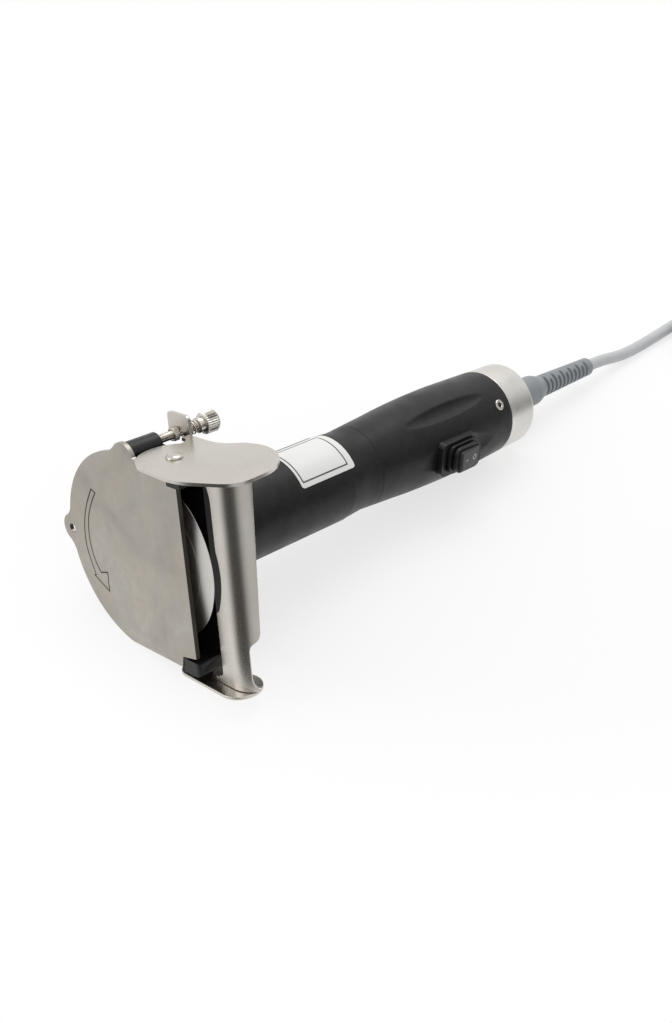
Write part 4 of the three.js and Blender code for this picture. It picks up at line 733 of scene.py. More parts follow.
class Form:
    """A mesh being shaped, in the tool's axes and millimetres."""

    def __init__(self) -> None:
        """Starts an empty form."""
        self.mesh = bmesh.new()

    @classmethod
    def of_node(cls, name: str) -> "Form":
        """Starts from a merged copy of a CAD node.

        Args:
            name: The node's name.

        Returns:
            The form.
        """
        form = cls()
        mesh = form.mesh
        mesh.from_mesh(frame["nodes"][name].data)
        mesh.transform(PLACE.inverted())
        bmesh.ops.remove_doubles(mesh, verts=mesh.verts, dist=NODE_MERGE)
        flat = math.radians(NODE_FLAT)
        bmesh.ops.dissolve_limit(mesh, angle_limit=flat, verts=mesh.verts, edges=mesh.edges)
        return form

    def turned(self, profile: Sequence[Point], steps: int = 96, closed: bool = True) -> "Form":
        """Spins an outline about Y.

        Args:
            profile: Radius and distance along Y of each corner.
            steps: Faces round the axis.
            closed: Whether the last corner joins the first one.

        Returns:
            The form itself.
        """
        corners = [self.mesh.verts.new((r, y, 0.0)) for r, y in profile]
        pairs = list(zip(corners, corners[1:]))
        if closed:
            pairs.append((corners[-1], corners[0]))
        edges = [self.mesh.edges.new(pair) for pair in pairs]
        bmesh.ops.spin(self.mesh, geom=corners + edges, cent=(0, 0, 0), axis=(0, 1, 0), dvec=(0, 0, 0),
                       angle=2 * math.pi, steps=steps, use_merge=True, use_duplicate=False)
        bmesh.ops.remove_doubles(self.mesh, verts=self.mesh.verts, dist=SEAM_MERGE)
        return self

    def slab(self, outline: Sequence[Point], low: float, high: float, facing: Facing,
             holes: Sequence[Sequence[Point]] = ()) -> "Form":
        """Presses a flat outline out to a sheet.

        Args:
            outline: The outline's corners.
            low: Where the sheet starts along the remaining axis.
            high: Where it ends.
            facing: The axes it lies along.
            holes: Outlines of its holes.

        Returns:
            The form itself.
        """
        edges = []
        for loop in (outline, *holes):
            corners = [self.mesh.verts.new(facing.spot(u, v, low)) for u, v in loop]
            edges += [self.mesh.edges.new(pair) for pair in zip(corners, corners[1:] + corners[:1])]
        if holes:
            filled = bmesh.ops.triangle_fill(self.mesh, edges=edges, use_beauty=True, use_dissolve=False)
            faces = [item for item in filled["geom"] if isinstance(item, bmesh.types.BMFace)]
        else:
            faces = [self.mesh.faces.new(corners)]
        raised = bmesh.ops.extrude_face_region(self.mesh, geom=faces)["geom"]
        moved = [item for item in raised if isinstance(item, bmesh.types.BMVert)]
        bmesh.ops.translate(self.mesh, verts=moved, vec=facing.spot(0.0, 0.0, high - low))
        bmesh.ops.recalc_face_normals(self.mesh, faces=self.mesh.faces)
        return self

    def soften(self, width: float, segments: int = 2, angle: float = 40.0,
               within: tuple[Spot, Spot] | None = None) -> "Form":
        """Rounds the sharp edges.

        Args:
            width: Width of the rounding.
            segments: Faces across it.
            angle: Edges sharper than this are rounded, in degrees.
            within: Lower and upper corner of the space that an edge must lie in, where only some are rounded.

        Returns:
            The form itself.
        """
        bmesh.ops.recalc_face_normals(self.mesh, faces=self.mesh.faces)
        limit = math.radians(angle)
        shared = [edge for edge in self.mesh.edges if len(edge.link_faces) == 2]
        sharp = [edge for edge in shared if edge.calc_face_angle() > limit]
        if within:
            sharp = [
                edge for edge in sharp
                if edge.is_convex and all(inside(end.co, within) for end in edge.verts)
            ]
        bmesh.ops.bevel(
            self.mesh, geom=sharp, offset=width, offset_type="OFFSET", segments=segments, profile=0.5,
            affect="EDGES", clamp_overlap=True, material=-1,
        )
        return self

    def cut_along(self, axis: int, places: Sequence[float]) -> "Form":
        """Adds edges where planes across an axis cross the form.

        Args:
            axis: The axis' number.
            places: Where the planes are.

        Returns:
            The form itself.
        """
        normal = Vector((0.0, 0.0, 0.0))
        normal[axis] = 1.0
        for place in places:
            everything = [*self.mesh.verts, *self.mesh.edges, *self.mesh.faces]
            bmesh.ops.bisect_plane(
                self.mesh, geom=everything, dist=1e-5, plane_co=normal * place, plane_no=normal,
            )
        return self

    def moved(self, matrix: Matrix) -> "Form":
        """Moves everything so far by a matrix."""
        bmesh.ops.transform(self.mesh, matrix=matrix, verts=self.mesh.verts, space=Matrix.Identity(4))
        return self

    def piece(self, name: str, finish: Finish, body: Body, stands_for: Sequence[str] = (),
              sharp: float = 35.0) -> bpy.types.Object:
        """Makes the form an object of the scene.

        Args:
            name: Name of the piece.
            finish: What it is made of.
            body: The body that it moves with.
            stands_for: CAD nodes that it replaces.
            sharp: Edges sharper than this stay sharp, in degrees.

        Returns:
            The object.
        """
        bmesh.ops.recalc_face_normals(self.mesh, faces=self.mesh.faces)
        self.mesh.transform(PLACE)
        data = bpy.data.meshes.new(name)
        self.mesh.to_mesh(data)
        self.mesh.free()
        data.shade_smooth()
        data.set_sharp_from_angle(angle=math.radians(sharp))
        data.materials.append(finish.material())
        thing = bpy.data.objects.new(name, data)
        bpy.context.scene.collection.objects.link(thing)
        flat = thing.modifiers.new("flat_faces", "WEIGHTED_NORMAL")
        flat.keep_sharp = True
        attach(thing, body.value)
        if stands_for:
            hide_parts(*stands_for)
        LOG.info("piece %s: %d faces", name, len(data.polygons))
        return thing


@dataclass
class Guard:
    """The stainless plate in front of the blade, with its etched arrow.

    Attributes:
        thick: Thickness of the sheet.
        rounding: Rounding of its edges.
        centre: Middle of its round side.
        radius: Radius of its round side.
        sides: Directions where the round side starts, stops above the lug and goes on below it, in degrees.
        edge: Where the straight edge stands along X.
        edge_ends: Lower and upper end of the straight edge.
        flat: Height of the flat underside.
        flat_end: Where the flat underside ends along X.
        ear_corner: Corner of the notch for the lower ear.
        hang: Middle of the lug with the hole.
        hang_radius: Radius of the lug.
        hang_arc: Directions where the lug's round end starts and stops, in degrees.
        hang_sweep: How far past the lug's middle the curves beside it aim, in its radii.
        hole: Radius of its hole.
        bump: Middle of the bump in front of the thumb screw.
        bump_radius: Radius of the bump.
        bump_arc: Directions where the bump's round top starts and stops, in degrees.
        bump_sweep: How far from the bump the shoulder, the right and the left curve lie, in its radii.
        bump_lift: How far the left curve aims over the round side.
        notch: Where the notch for the upper ear starts along X.
        shoulder: Height of the shoulder beside the bump.
        arrow_outer: Points along the arrow's outer side, from its tail.
        arrow_head: Corners of its head.
        arrow_inner: Points along its inner side, back to the tail.
        line: Width of the arrow's etched line.
        lift: How far the etched line lies in front of the plate.
    """

    thick: float = 2.0
    rounding: float = 0.4
    centre: Point = (-8.5, -1.5)
    radius: float = 47.95
    sides: Spot = (101.0, 168.0, 193.0)
    edge: float = 28.85
    edge_ends: Point = (-40.9, 39.2)
    flat: float = -48.5
    flat_end: float = 18.1
    ear_corner: Point = (19.3, -42.9)
    hang: Point = (-55.8, -1.5)
    hang_radius: float = 6.78
    hang_arc: Point = (125.0, 235.0)
    hang_sweep: float = 0.2
    hole: float = 2.3
    bump: Point = (-7.0, 44.4)
    bump_radius: float = 7.2
    bump_arc: Point = (15.0, 140.0)
    bump_sweep: Spot = (1.9, 1.15, 1.18)
    bump_lift: float = 0.8
    notch: float = 22.4
    shoulder: float = 45.2
    arrow_outer: tuple[Point, ...] = (
        (-35.3, 23.8), (-41.0, 14.6), (-45.0, 4.7), (-46.3, -5.7), (-44.9, -13.3), (-42.0, -21.2),
    )
    arrow_head: tuple[Point, ...] = ((-43.4, -22.0), (-31.9, -27.8), (-31.2, -16.7))
    arrow_inner: tuple[Point, ...] = (
        (-36.9, -18.5), (-40.2, -13.0), (-42.0, -4.5), (-40.9, 5.8), (-37.0, 14.7), (-31.8, 22.3),
    )
    line: float = 0.75
    lift: float = 0.015

    def outline(self) -> list[Point]:
        """The plate's outline, seen from the front.

        Returns:
            Its corners.
        """
        low, high = self.edge_ends
        x, r = self.bump[0], self.bump_radius
        shoulder, right, left = self.bump_sweep
        start, above, below = self.sides
        out = [(self.edge, low), (self.edge, high), (self.notch, high), (self.notch, high + self.thick)]
        out.append((x + shoulder * r, self.shoulder))
        top = arc(self.bump, r, *self.bump_arc)
        out += curved([out[-1], (x + right * r, self.shoulder), top[0]]) + top[1:]
        side = arc(self.centre, self.radius, start, above, 2)
        out += curved([out[-1], (x - left * r, side[0][1] + self.bump_lift), side[0]]) + side[1:]
        reach = self.hang[0] - self.hang_sweep * self.hang_radius
        lug = arc(self.hang, self.hang_radius, *self.hang_arc)
        out += curved([out[-1], (reach, self.hang[1] + self.hang_radius), lug[0]]) + lug[1:]
        end = 270 - math.degrees(math.acos((self.centre[1] - self.flat) / self.radius))
        side = arc(self.centre, self.radius, below, end, 2)
        out += curved([out[-1], (reach, self.hang[1] - self.hang_radius), side[0]]) + side[1:]
        return out + [(self.flat_end, self.flat), self.ear_corner]

    def build(self) -> None:
        """Makes the plate and the etched arrow, which shows which way the blade turns."""
        hole = circle(self.hang, self.hole)
        plate = Form().slab(self.outline(), 0.0, self.thick, Facing.FRONT, [hole])
        plate.soften(self.rounding, segments=3)
        plate.piece("guard_sheet", SHEET, Body.TOOL, ["guard_plate"])
        arrow = [*smooth(self.arrow_outer, 6), *self.arrow_head, *smooth(self.arrow_inner, 6)]
        etched = Form()
        face = etched.mesh.faces.new([etched.mesh.verts.new((x, -self.lift, z)) for x, z in arrow])
        etched.mesh.normal_update()
        bmesh.ops.inset_region(
            etched.mesh, faces=[face], thickness=self.line, use_boundary=True, use_even_offset=True,
        )
        bmesh.ops.delete(etched.mesh, geom=[face], context="FACES_ONLY")
        etched.piece("guard_arrow", ETCH, Body.TOOL)


@dataclass
class Blade:
    """The round blade.

    Attributes:
        radius: Radius of the cutting edge.
        front: Where the front of its hub lies along Y.
        thick: Its thickness.
        dish: Radius and place along Y where the dished face starts.
        edge: Place of the cutting edge along Y.
        lip: Thickness at the cutting edge, width of the bevel behind it and thickness at its foot.
        hub: Radius of the hub.
        ring: Radius of the fine ring on its face.
        groove: Half the width of that ring, and its depth.
        back_steps: How far the back's corners lie outside the front's, at the dish and at the hub.
        bore: Radius of its bore.
    """

    radius: float = 40.0
    front: float = 5.2
    thick: float = 1.6
    dish: Point = (18.5, 2.95)
    edge: float = 5.5
    lip: Spot = (0.2, 3.0, 0.9)
    hub: float = 14.0
    ring: float = 31.7
    groove: Point = (0.25, 0.1)
    back_steps: Point = (2.0, 1.5)
    bore: float = 5.3

    def build(self) -> None:
        """Makes the blade."""
        start, low = self.dish
        lean = (self.edge - low) / (self.radius - start)
        half, deep = self.groove
        ring = [
            (self.ring + u, low + lean * (self.ring + u - start) + v)
            for u, v in ((-half, 0.0), (0.0, deep), (half, 0.0))
        ]
        back = self.front + self.thick
        tip, bevel, foot = self.lip
        outer, inner = self.back_steps
        profile = [
            (self.bore, self.front), (self.hub, self.front), (start, low), *ring, (self.radius, self.edge),
            (self.radius, self.edge + tip), (self.radius - bevel, self.edge + foot),
            (start + outer, low + self.thick), (self.hub + inner, back), (self.bore, back),
        ]
        disc = Form().turned(profile, steps=192)
        disc.piece("cutting_disc", BLADE, Body.ROTOR, ["round_blade"], sharp=12.0)


@dataclass
class DepthGuide:
    """The swinging guide: top plate with its tab, bent vane, bottom plate and rivets.

    Attributes:
        sheet: Thickness of its sheets.
        rounding: Rounding of the plates' edges.
        pivot: Where it swings, in X and Y.
        top: Underside of the top plate.
        low: Upper side of the bottom plate.
        end_radius: Radius of the top plate about the pivot.
        end_angle: Direction where that round end starts, in degrees.
        lobe: Points round the top plate's lobe, from its front to its back.
        strip: Depth of the strip that carries the tab.
        strip_left: Where the strip ends along X.
        strip_aim: How far past the pivot the curve into the strip aims.
        tab: Left and right side of the tab.
        tab_front: Front of the tab.
        tab_height: How far the tab stands over the top plate.
        tab_rounding: Radius of its upper corners.
        slot_middles: Middles of the two round ends of the slot that straddles the screw, in X and Z.
        slot_radius: Radius of these ends.
        slot_lean: How far they go on below their middles, in degrees.
        slot_foot: Left and right side of the slot's foot.
        front: Front of the vane's flat part.
        bend: Where the vane's bend starts along X.
        bend_radius: Outer radius of the bend.
        bend_steps: Faces round the bend.
        rows: Height of the lowest edge added across the vane, and the distance to the next.
        row_count: How many such edges there are.
        vane_gap: Gap between the vane and the plates.
        vane_rounding: Rounding of the vane's edges.
        blade_room: Radius about the blade's axis that the vane leaves free.
        vane_edges: Where the vane's edge stands along X beside the blade, below it and at its foot.
        vane_corner: How far its upper corner lies past the foot, and the drops of that corner's curve.
        rear_angles: Directions of its rear edge at the foot, waist, neck, shoulder and top, in degrees.
        waist: Heights of the lower end of the waist and of the neck, over the vane's foot.
        low_radius: Radius of the bottom plate about the pivot.
        low_lobe: Middle of its other round end, in X and Y.
        low_lobe_radius: Radius of that end.
        rivet_sizes: Radius of a rivet's head, of the head's foot and of the shank, and the shank's length.
        rivet_dome: Power that flattens the head.
        rivet_heads: Heights of the upper and the lower head.
        rivet_gap: Gap under a head.
    """

    sheet: float = 1.5
    rounding: float = 0.35
    pivot: Point = (16.7, 9.9)
    top: float = 45.8
    low: float = -53.7
    end_radius: float = 16.5
    end_angle: float = 133.0
    lobe: tuple[Point, ...] = (
        (24.6, -6.9), (32.5, -7.1), (40.6, -5.3), (49.7, -0.6), (57.2, 4.3), (60.4, 9.9), (60.8, 16.5),
        (59.8, 25.8), (55.3, 33.9), (47.3, 39.9), (37.4, 42.2), (29.0, 40.0), (23.6, 35.9),
    )
    strip: float = 4.5
    strip_left: float = 0.0
    strip_aim: float = 3.0
    tab: Point = (-12.7, 2.0)
    tab_front: float = 30.0
    tab_height: float = 9.0
    tab_rounding: float = 2.2
    slot_middles: tuple[Point, Point] = ((-8.45, 47.2), (-4.55, 47.2))
    slot_radius: float = 2.3
    slot_lean: float = 37.0
    slot_foot: Point = (-10.275, -2.725)
    front: float = 7.3
    bend: float = 43.5
    bend_radius: float = 12.5
    bend_steps: int = 36
    rows: Point = (-50.0, 4.0)
    row_count: int = 24
    vane_gap: float = 0.3
    vane_rounding: float = 0.25
    blade_room: float = 42.3
    vane_edges: Spot = (40.7, 37.0, 31.8)
    vane_corner: Four = (1.2, 1.5, 12.0, 13.5)
    rear_angles: tuple[float, ...] = (62.0, 45.0, 59.0, 70.0, 82.0)
    waist: Point = (8.0, 27.0)
    low_radius: float = 8.0
    low_lobe: Point = (43.0, 11.5)
    low_lobe_radius: float = 10.0
    rivet_sizes: Four = (3.8, 3.75, 2.2, 9.0)
    rivet_dome: float = 0.6
    rivet_heads: Point = (1.6, 0.8)
    rivet_gap: float = 0.05

    def top_outline(self) -> list[Point]:
        """Outline of the top plate, seen from above.

        Returns:
            Its corners.
        """
        back = self.tab_front + self.sheet
        strip = back - self.strip
        right = self.tab[1]
        out = smooth([(self.pivot[0], self.pivot[1] - self.end_radius), *self.lobe], 8)
        aim = (self.pivot[0] + self.strip_aim, back)
        out += curved([out[-1], aim, (right + self.end_radius / 2, back)], 14)
        out += [(self.strip_left, back), (self.strip_left, strip), (right, strip)]
        end = arc(self.pivot, self.end_radius, self.end_angle, 270, 3)
        return out + curved([out[-1], (end[0][0], strip), end[0]], 10) + end[1:-1]

    def tab_outline(self) -> list[Point]:
        """Outline of the tab, seen from the front, with the slot that straddles the screw.

        Returns:
            Its corners.
        """
        left, right = self.tab
        corner = self.tab_rounding
        inner = self.top + self.sheet + self.tab_height - corner
        middles, radius, lean = self.slot_middles, self.slot_radius, self.slot_lean
        slot = arc(middles[0], radius, 180 + lean, 90, 12) + arc(middles[1], radius, 90, -lean, 12)
        out = [(left, self.top), (self.slot_foot[0], self.top), *slot, (self.slot_foot[1], self.top)]
        out += [(right, self.top), *arc((right - corner, inner), corner, 0, 90, 12)]
        return out + arc((left + corner, inner), corner, 90, 180, 12)

    def vane_outline(self) -> list[Point]:
        """Outline of the vane while it is still flat, measured from the start of the bend.

        Returns:
            Its corners, with the distance along the sheet and the height.
        """
        low, high = self.low + self.vane_gap, self.top - self.vane_gap
        room, thick = self.blade_room, self.sheet
        edge, inner, foot = self.vane_edges
        foot_z = low + 1.5 * thick
        step = -math.sqrt(room * room - ((edge + inner) / 2) ** 2)
        past, *drops = self.vane_corner
        left = [(foot + past, high)]
        left += curved([left[0], *((edge, high - drop) for drop in drops)], 14)
        start = math.degrees(math.acos(edge / room))
        left += arc((0.0, 0.0), room, start, math.degrees(math.asin(step / room)), 2)
        left += [(inner, step - thick), (inner, foot_z + 3 * thick)]
        left += curved([left[-1], (inner, foot_z), (foot, foot_z)], 10) + [(foot, low)]
        out = [(x - self.bend, z) for x, z in left]
        rear = (self.bend_radius * math.radians(degrees) for degrees in self.rear_angles)
        base, waist, neck, shoulder, peak = rear
        lower, upper = (low + height for height in self.waist)
        out += [(base, low), (base, low + thick)]
        out += curved([out[-1], (waist, low + thick), (waist, lower)], 10)
        out += [(waist, upper - 5 * thick)]
        out += curved([out[-1], (waist, upper - 3 * thick), (neck, upper - 2 * thick)], 10)
        out += curved([out[-1], (shoulder, upper - thick), (shoulder, upper + 2 * thick)], 8)
        return out + [(peak, high)]

    def bent(self, form: Form) -> Form:
        """Bends a flat sheet round to the rear.

        Args:
            form: The sheet, with its length along X, its thickness along Y and its height along Z.

        Returns:
            The form itself.
        """
        middle = self.front + self.bend_radius
        for corner in form.mesh.verts:
            length, depth = corner.co.x, corner.co.y
            if length <= 0:
                corner.co = (self.bend + length, self.front + depth, corner.co.z)
                continue
            angle = length / self.bend_radius
            r = self.bend_radius - depth
            corner.co = (self.bend + r * math.sin(angle), middle - r * math.cos(angle), corner.co.z)
        return form

    def rivet(self, name: str, node: str, face: float, height: float, side: int) -> None:
        """Makes a rivet.

        Args:
            name: Name of the piece.
            node: The CAD node that it replaces.
            face: Height of the plate that its head lies on.
            height: Height of its head.
            side: 1 for a head on top, -1 for one underneath.
        """
        radius, rim, shank, depth = self.rivet_sizes
        angles = [math.radians(degrees) for degrees in range(9, 90, 9)]
        head = [(radius * math.cos(a) ** self.rivet_dome, height * math.sin(a)) for a in angles]
        profile = [(0.0, -depth), (shank, -depth), (shank, 0.0), (rim, 0.0), *head, (0.0, height)]
        place = Matrix.Translation((*self.pivot, face)) @ Matrix.Rotation(side * math.pi / 2, 4, "X")
        form = Form().turned(profile, steps=64, closed=False).moved(place)
        form.piece(name, BRIGHT, Body.TOOL, [node])

    def build(self) -> None:
        """Makes the three sheets and the two rivets."""
        plate = Form().slab(self.top_outline(), self.top, self.top + self.sheet, Facing.TOP)
        plate.slab(self.tab_outline(), self.tab_front, self.tab_front + self.sheet, Facing.FRONT)
        plate.soften(self.rounding, segments=3)
        plate.piece("guide_top_sheet", GUIDE_SHEET, Body.GUIDE, ["guide_top_plate"])
        vane = Form().slab(self.vane_outline(), 0.0, self.sheet, Facing.FRONT).soften(self.vane_rounding)
        length = self.bend_radius * math.radians(self.rear_angles[-1])
        vane.cut_along(0, [length * k / self.bend_steps for k in range(self.bend_steps)])
        vane.cut_along(2, [self.rows[0] + self.rows[1] * k for k in range(self.row_count)])
        self.bent(vane).piece("guide_vane_sheet", GUIDE_SHEET, Body.GUIDE, ["guide_vane"])
        foot = two_circles(self.pivot, self.low_radius, self.low_lobe, self.low_lobe_radius)
        low = Form().slab(foot, self.low - self.sheet, self.low, Facing.TOP)
        low.soften(self.rounding, segments=3)
        low.piece("guide_low_sheet", GUIDE_SHEET, Body.GUIDE, ["guide_bottom_plate"])
        over, under = self.top + self.sheet + self.rivet_gap, self.low - self.sheet - self.rivet_gap
        self.rivet("top_rivet", "pivot_rivet_top", over, self.rivet_heads[0], 1)
        self.rivet("low_rivet", "pivot_rivet_bottom", under, self.rivet_heads[1], -1)


@dataclass
class Adjuster:
    """Thumb screw, stop nut and spring, about their own axis.

    Attributes:
        axis: Where the axis stands, in X and Z.
        tip: Where the screw starts along Y.
        shank: Radius over the thread.
        pitch: Pitch of the thread.
        thread: Where the thread that shows starts and ends along Y.
        thread_depth: Depth of the thread.
        flanks: Where one turn of the thread starts to rise, reaches its crest, leaves it and is down again.
        collar: Start, end and radius of the collar.
        collar_chamfers: Chamfers of its front and back.
        knob: Start, end and radius of the knob.
        knob_chamfer: Depth and length of the knob's chamfers.
        dimple: Outer and inner radius of the dimple in the knob's end, in knob radii, and its depth.
        ridges: Ridges round the knob.
        ridge_depth: Depth of a ridge, as a share of the radius.
        nut: Front, back and width across flats of the nut.
        nut_turn: How far the nut is turned, in degrees.
        nut_play: Play between the nut and the thread.
        nut_rounding: Rounding of the nut's edges.
        spring: Front, length, radius and wire radius of the spring.
        curls: Turns of the spring.
        curl_steps: Faces along one turn.
        wire_sides: Faces round the wire.
    """

    axis: Point = (-6.5, 47.2)
    tip: float = 9.0
    shank: float = 2.0
    pitch: float = 0.7
    thread: Point = (15.9, 40.5)
    thread_depth: float = 0.32
    flanks: Four = (0.08, 0.3, 0.4, 0.62)
    collar: Spot = (40.7, 43.7, 3.6)
    collar_chamfers: Point = (0.4, 0.3)
    knob: Spot = (43.7, 51.0, 5.0)
    knob_chamfer: Point = (0.7, 0.6)
    dimple: Spot = (0.6, 0.55, 0.25)
    ridges: int = 28
    ridge_depth: float = 0.09
    nut: Spot = (26.6, 29.4, 5.8)
    nut_turn: float = 10.0
    nut_play: float = 0.05
    nut_rounding: float = 0.35
    spring: Four = (32.1, 8.0, 2.85, 0.4)
    curls: int = 4
    curl_steps: int = 40
    wire_sides: int = 10

    def place(self) -> Matrix:
        """The matrix that moves a form from the handle's axis to the screw's."""
        return Matrix.Translation((self.axis[0], 0.0, self.axis[1]))

    def screw(self) -> Form:
        """The thumb screw with its thread, collar and knurled knob.

        Returns:
            The form.
        """
        core = self.shank - self.thread_depth
        profile = [(0.0, self.tip), (core, self.tip), (core, self.thread[0])]
        y = self.thread[0]
        while y < self.thread[1] - self.pitch:
            profile += [(r, y + flank) for r, flank in zip((core, self.shank, self.shank, core), self.flanks)]
            y += self.pitch
        start, end, r = self.collar
        front, back = self.collar_chamfers
        profile += [(core, start), (r - front, start), (r, start + front), (r, end - back), (r - back, end)]
        start, end, r = self.knob
        inset, slope = self.knob_chamfer
        outer, inner, deep = self.dimple
        profile += [(r - inset, start), (r, start + slope)]
        profile += [(r, start + slope + (end - start - 2 * slope) * k / 6) for k in range(1, 7)]
        profile += [(r - inset, end), (outer * r, end), (inner * r, end - deep), (0.0, end - deep)]
        form = Form().turned(profile, steps=4 * self.ridges, closed=False)
        for corner in form.mesh.verts:
            radius = math.hypot(corner.co.x, corner.co.z)
            if corner.co.y > start and radius > r - inset / 2:
                angle = math.atan2(corner.co.z, corner.co.x)
                sunk = 1 - self.ridge_depth * (0.5 + 0.5 * math.cos(self.ridges * angle))
                corner.co.x *= sunk
                corner.co.z *= sunk
        return form

    def coil(self) -> Form:
        """The spring, as a tube along its wire.

        Returns:
            The form.
        """
        front, length, radius, wire = self.spring
        form = Form()
        steps = self.curl_steps * self.curls
        start = Matrix.Translation((radius, front + wire, 0.0))
        bmesh.ops.create_circle(form.mesh, cap_ends=True, segments=self.wire_sides, radius=wire, matrix=start)
        rise = Vector((0.0, (length - 2 * wire) / steps, 0.0))
        end = [*form.mesh.verts, *form.mesh.edges, *form.mesh.faces]
        bmesh.ops.spin(
            form.mesh, geom=end, cent=(0, 0, 0), axis=(0, 1, 0), dvec=rise,
            angle=2 * math.pi * self.curls, steps=steps,
        )
        return form

    def build(self) -> None:
        """Makes the three pieces."""
        screw = self.screw().moved(self.place())
        screw.piece("knurled_screw", BRIGHT, Body.WHEEL, ["thumb_screw"], sharp=50.0)
        front, back, flats = self.nut
        corners = [on_circle((0.0, 0.0), flats / math.sqrt(3), 60 * k + self.nut_turn) for k in range(6)]
        bore = circle((0.0, 0.0), self.shank + self.nut_play, 15)
        nut = Form().slab(corners, front, back, Facing.FRONT, [bore]).soften(self.nut_rounding)
        nut.moved(self.place()).piece("hexagon_nut", BRIGHT, Body.WHEEL, ["stop_nut"])
        spring = self.coil().moved(self.place())
        spring.piece("coil_spring", BRIGHT, Body.FEED, ["adjuster_spring"], sharp=60.0)


@dataclass
class Housing:
    """The black head behind the guard.

    Attributes:
        rounding: Width of its rounded edges.
        boss: Lower and upper corner of the space that the screw's boss takes.
        boss_drop: How far the boss is pressed down at its crest, and its end forward.
        boss_rise: Height over which the press grows to its full depth.
        boss_run: Share of its length where the boss' end starts to move, and the rest that moves fully.
        boss_end: Rounding of the boss' end, and depth of the space that holds that end's edge.
        ear: Lower and upper corner of the space round the lower ear's outer edges.
        ear_rounding: Rounding of these edges.
        sharp: Edges sharper than this are rounded, in degrees.
    """

    rounding: float = 0.5
    boss: tuple[Spot, Spot] = ((-13.0, 2.1, 44.0), (0.0, 20.7, 53.0))
    boss_drop: Point = (1.4, 2.7)
    boss_rise: float = 5.0
    boss_run: Point = (0.7, 1.8)
    boss_end: Point = (1.5, 0.2)
    ear: tuple[Spot, Spot] = ((30.9, -0.1, -50.3), (31.1, 22.1, -43.1))
    ear_rounding: float = 3.2
    sharp: float = 50.0

    def build(self) -> None:
        """Makes the housing."""
        form = Form.of_node("head_housing")
        low, high = self.boss
        rounding, depth = self.boss_end
        form.soften(rounding, segments=4, angle=self.sharp, within=((low[0], high[1] - depth, low[2]), high))
        form.soften(self.ear_rounding, segments=5, angle=self.sharp, within=self.ear)
        form.soften(self.rounding, segments=2, angle=self.sharp)
        down, forward = self.boss_drop
        start, rest = self.boss_run
        for corner in form.mesh.verts:
            if inside(corner.co, self.boss):
                corner.co.z -= down * ease(corner.co.z, low[2], low[2] + self.boss_rise)
                corner.co.y -= forward * ease(corner.co.y, start * high[1], high[1] - rest)
        form.piece("head_casting", HEAD, Body.TOOL, ["head_housing"], sharp=30.0)


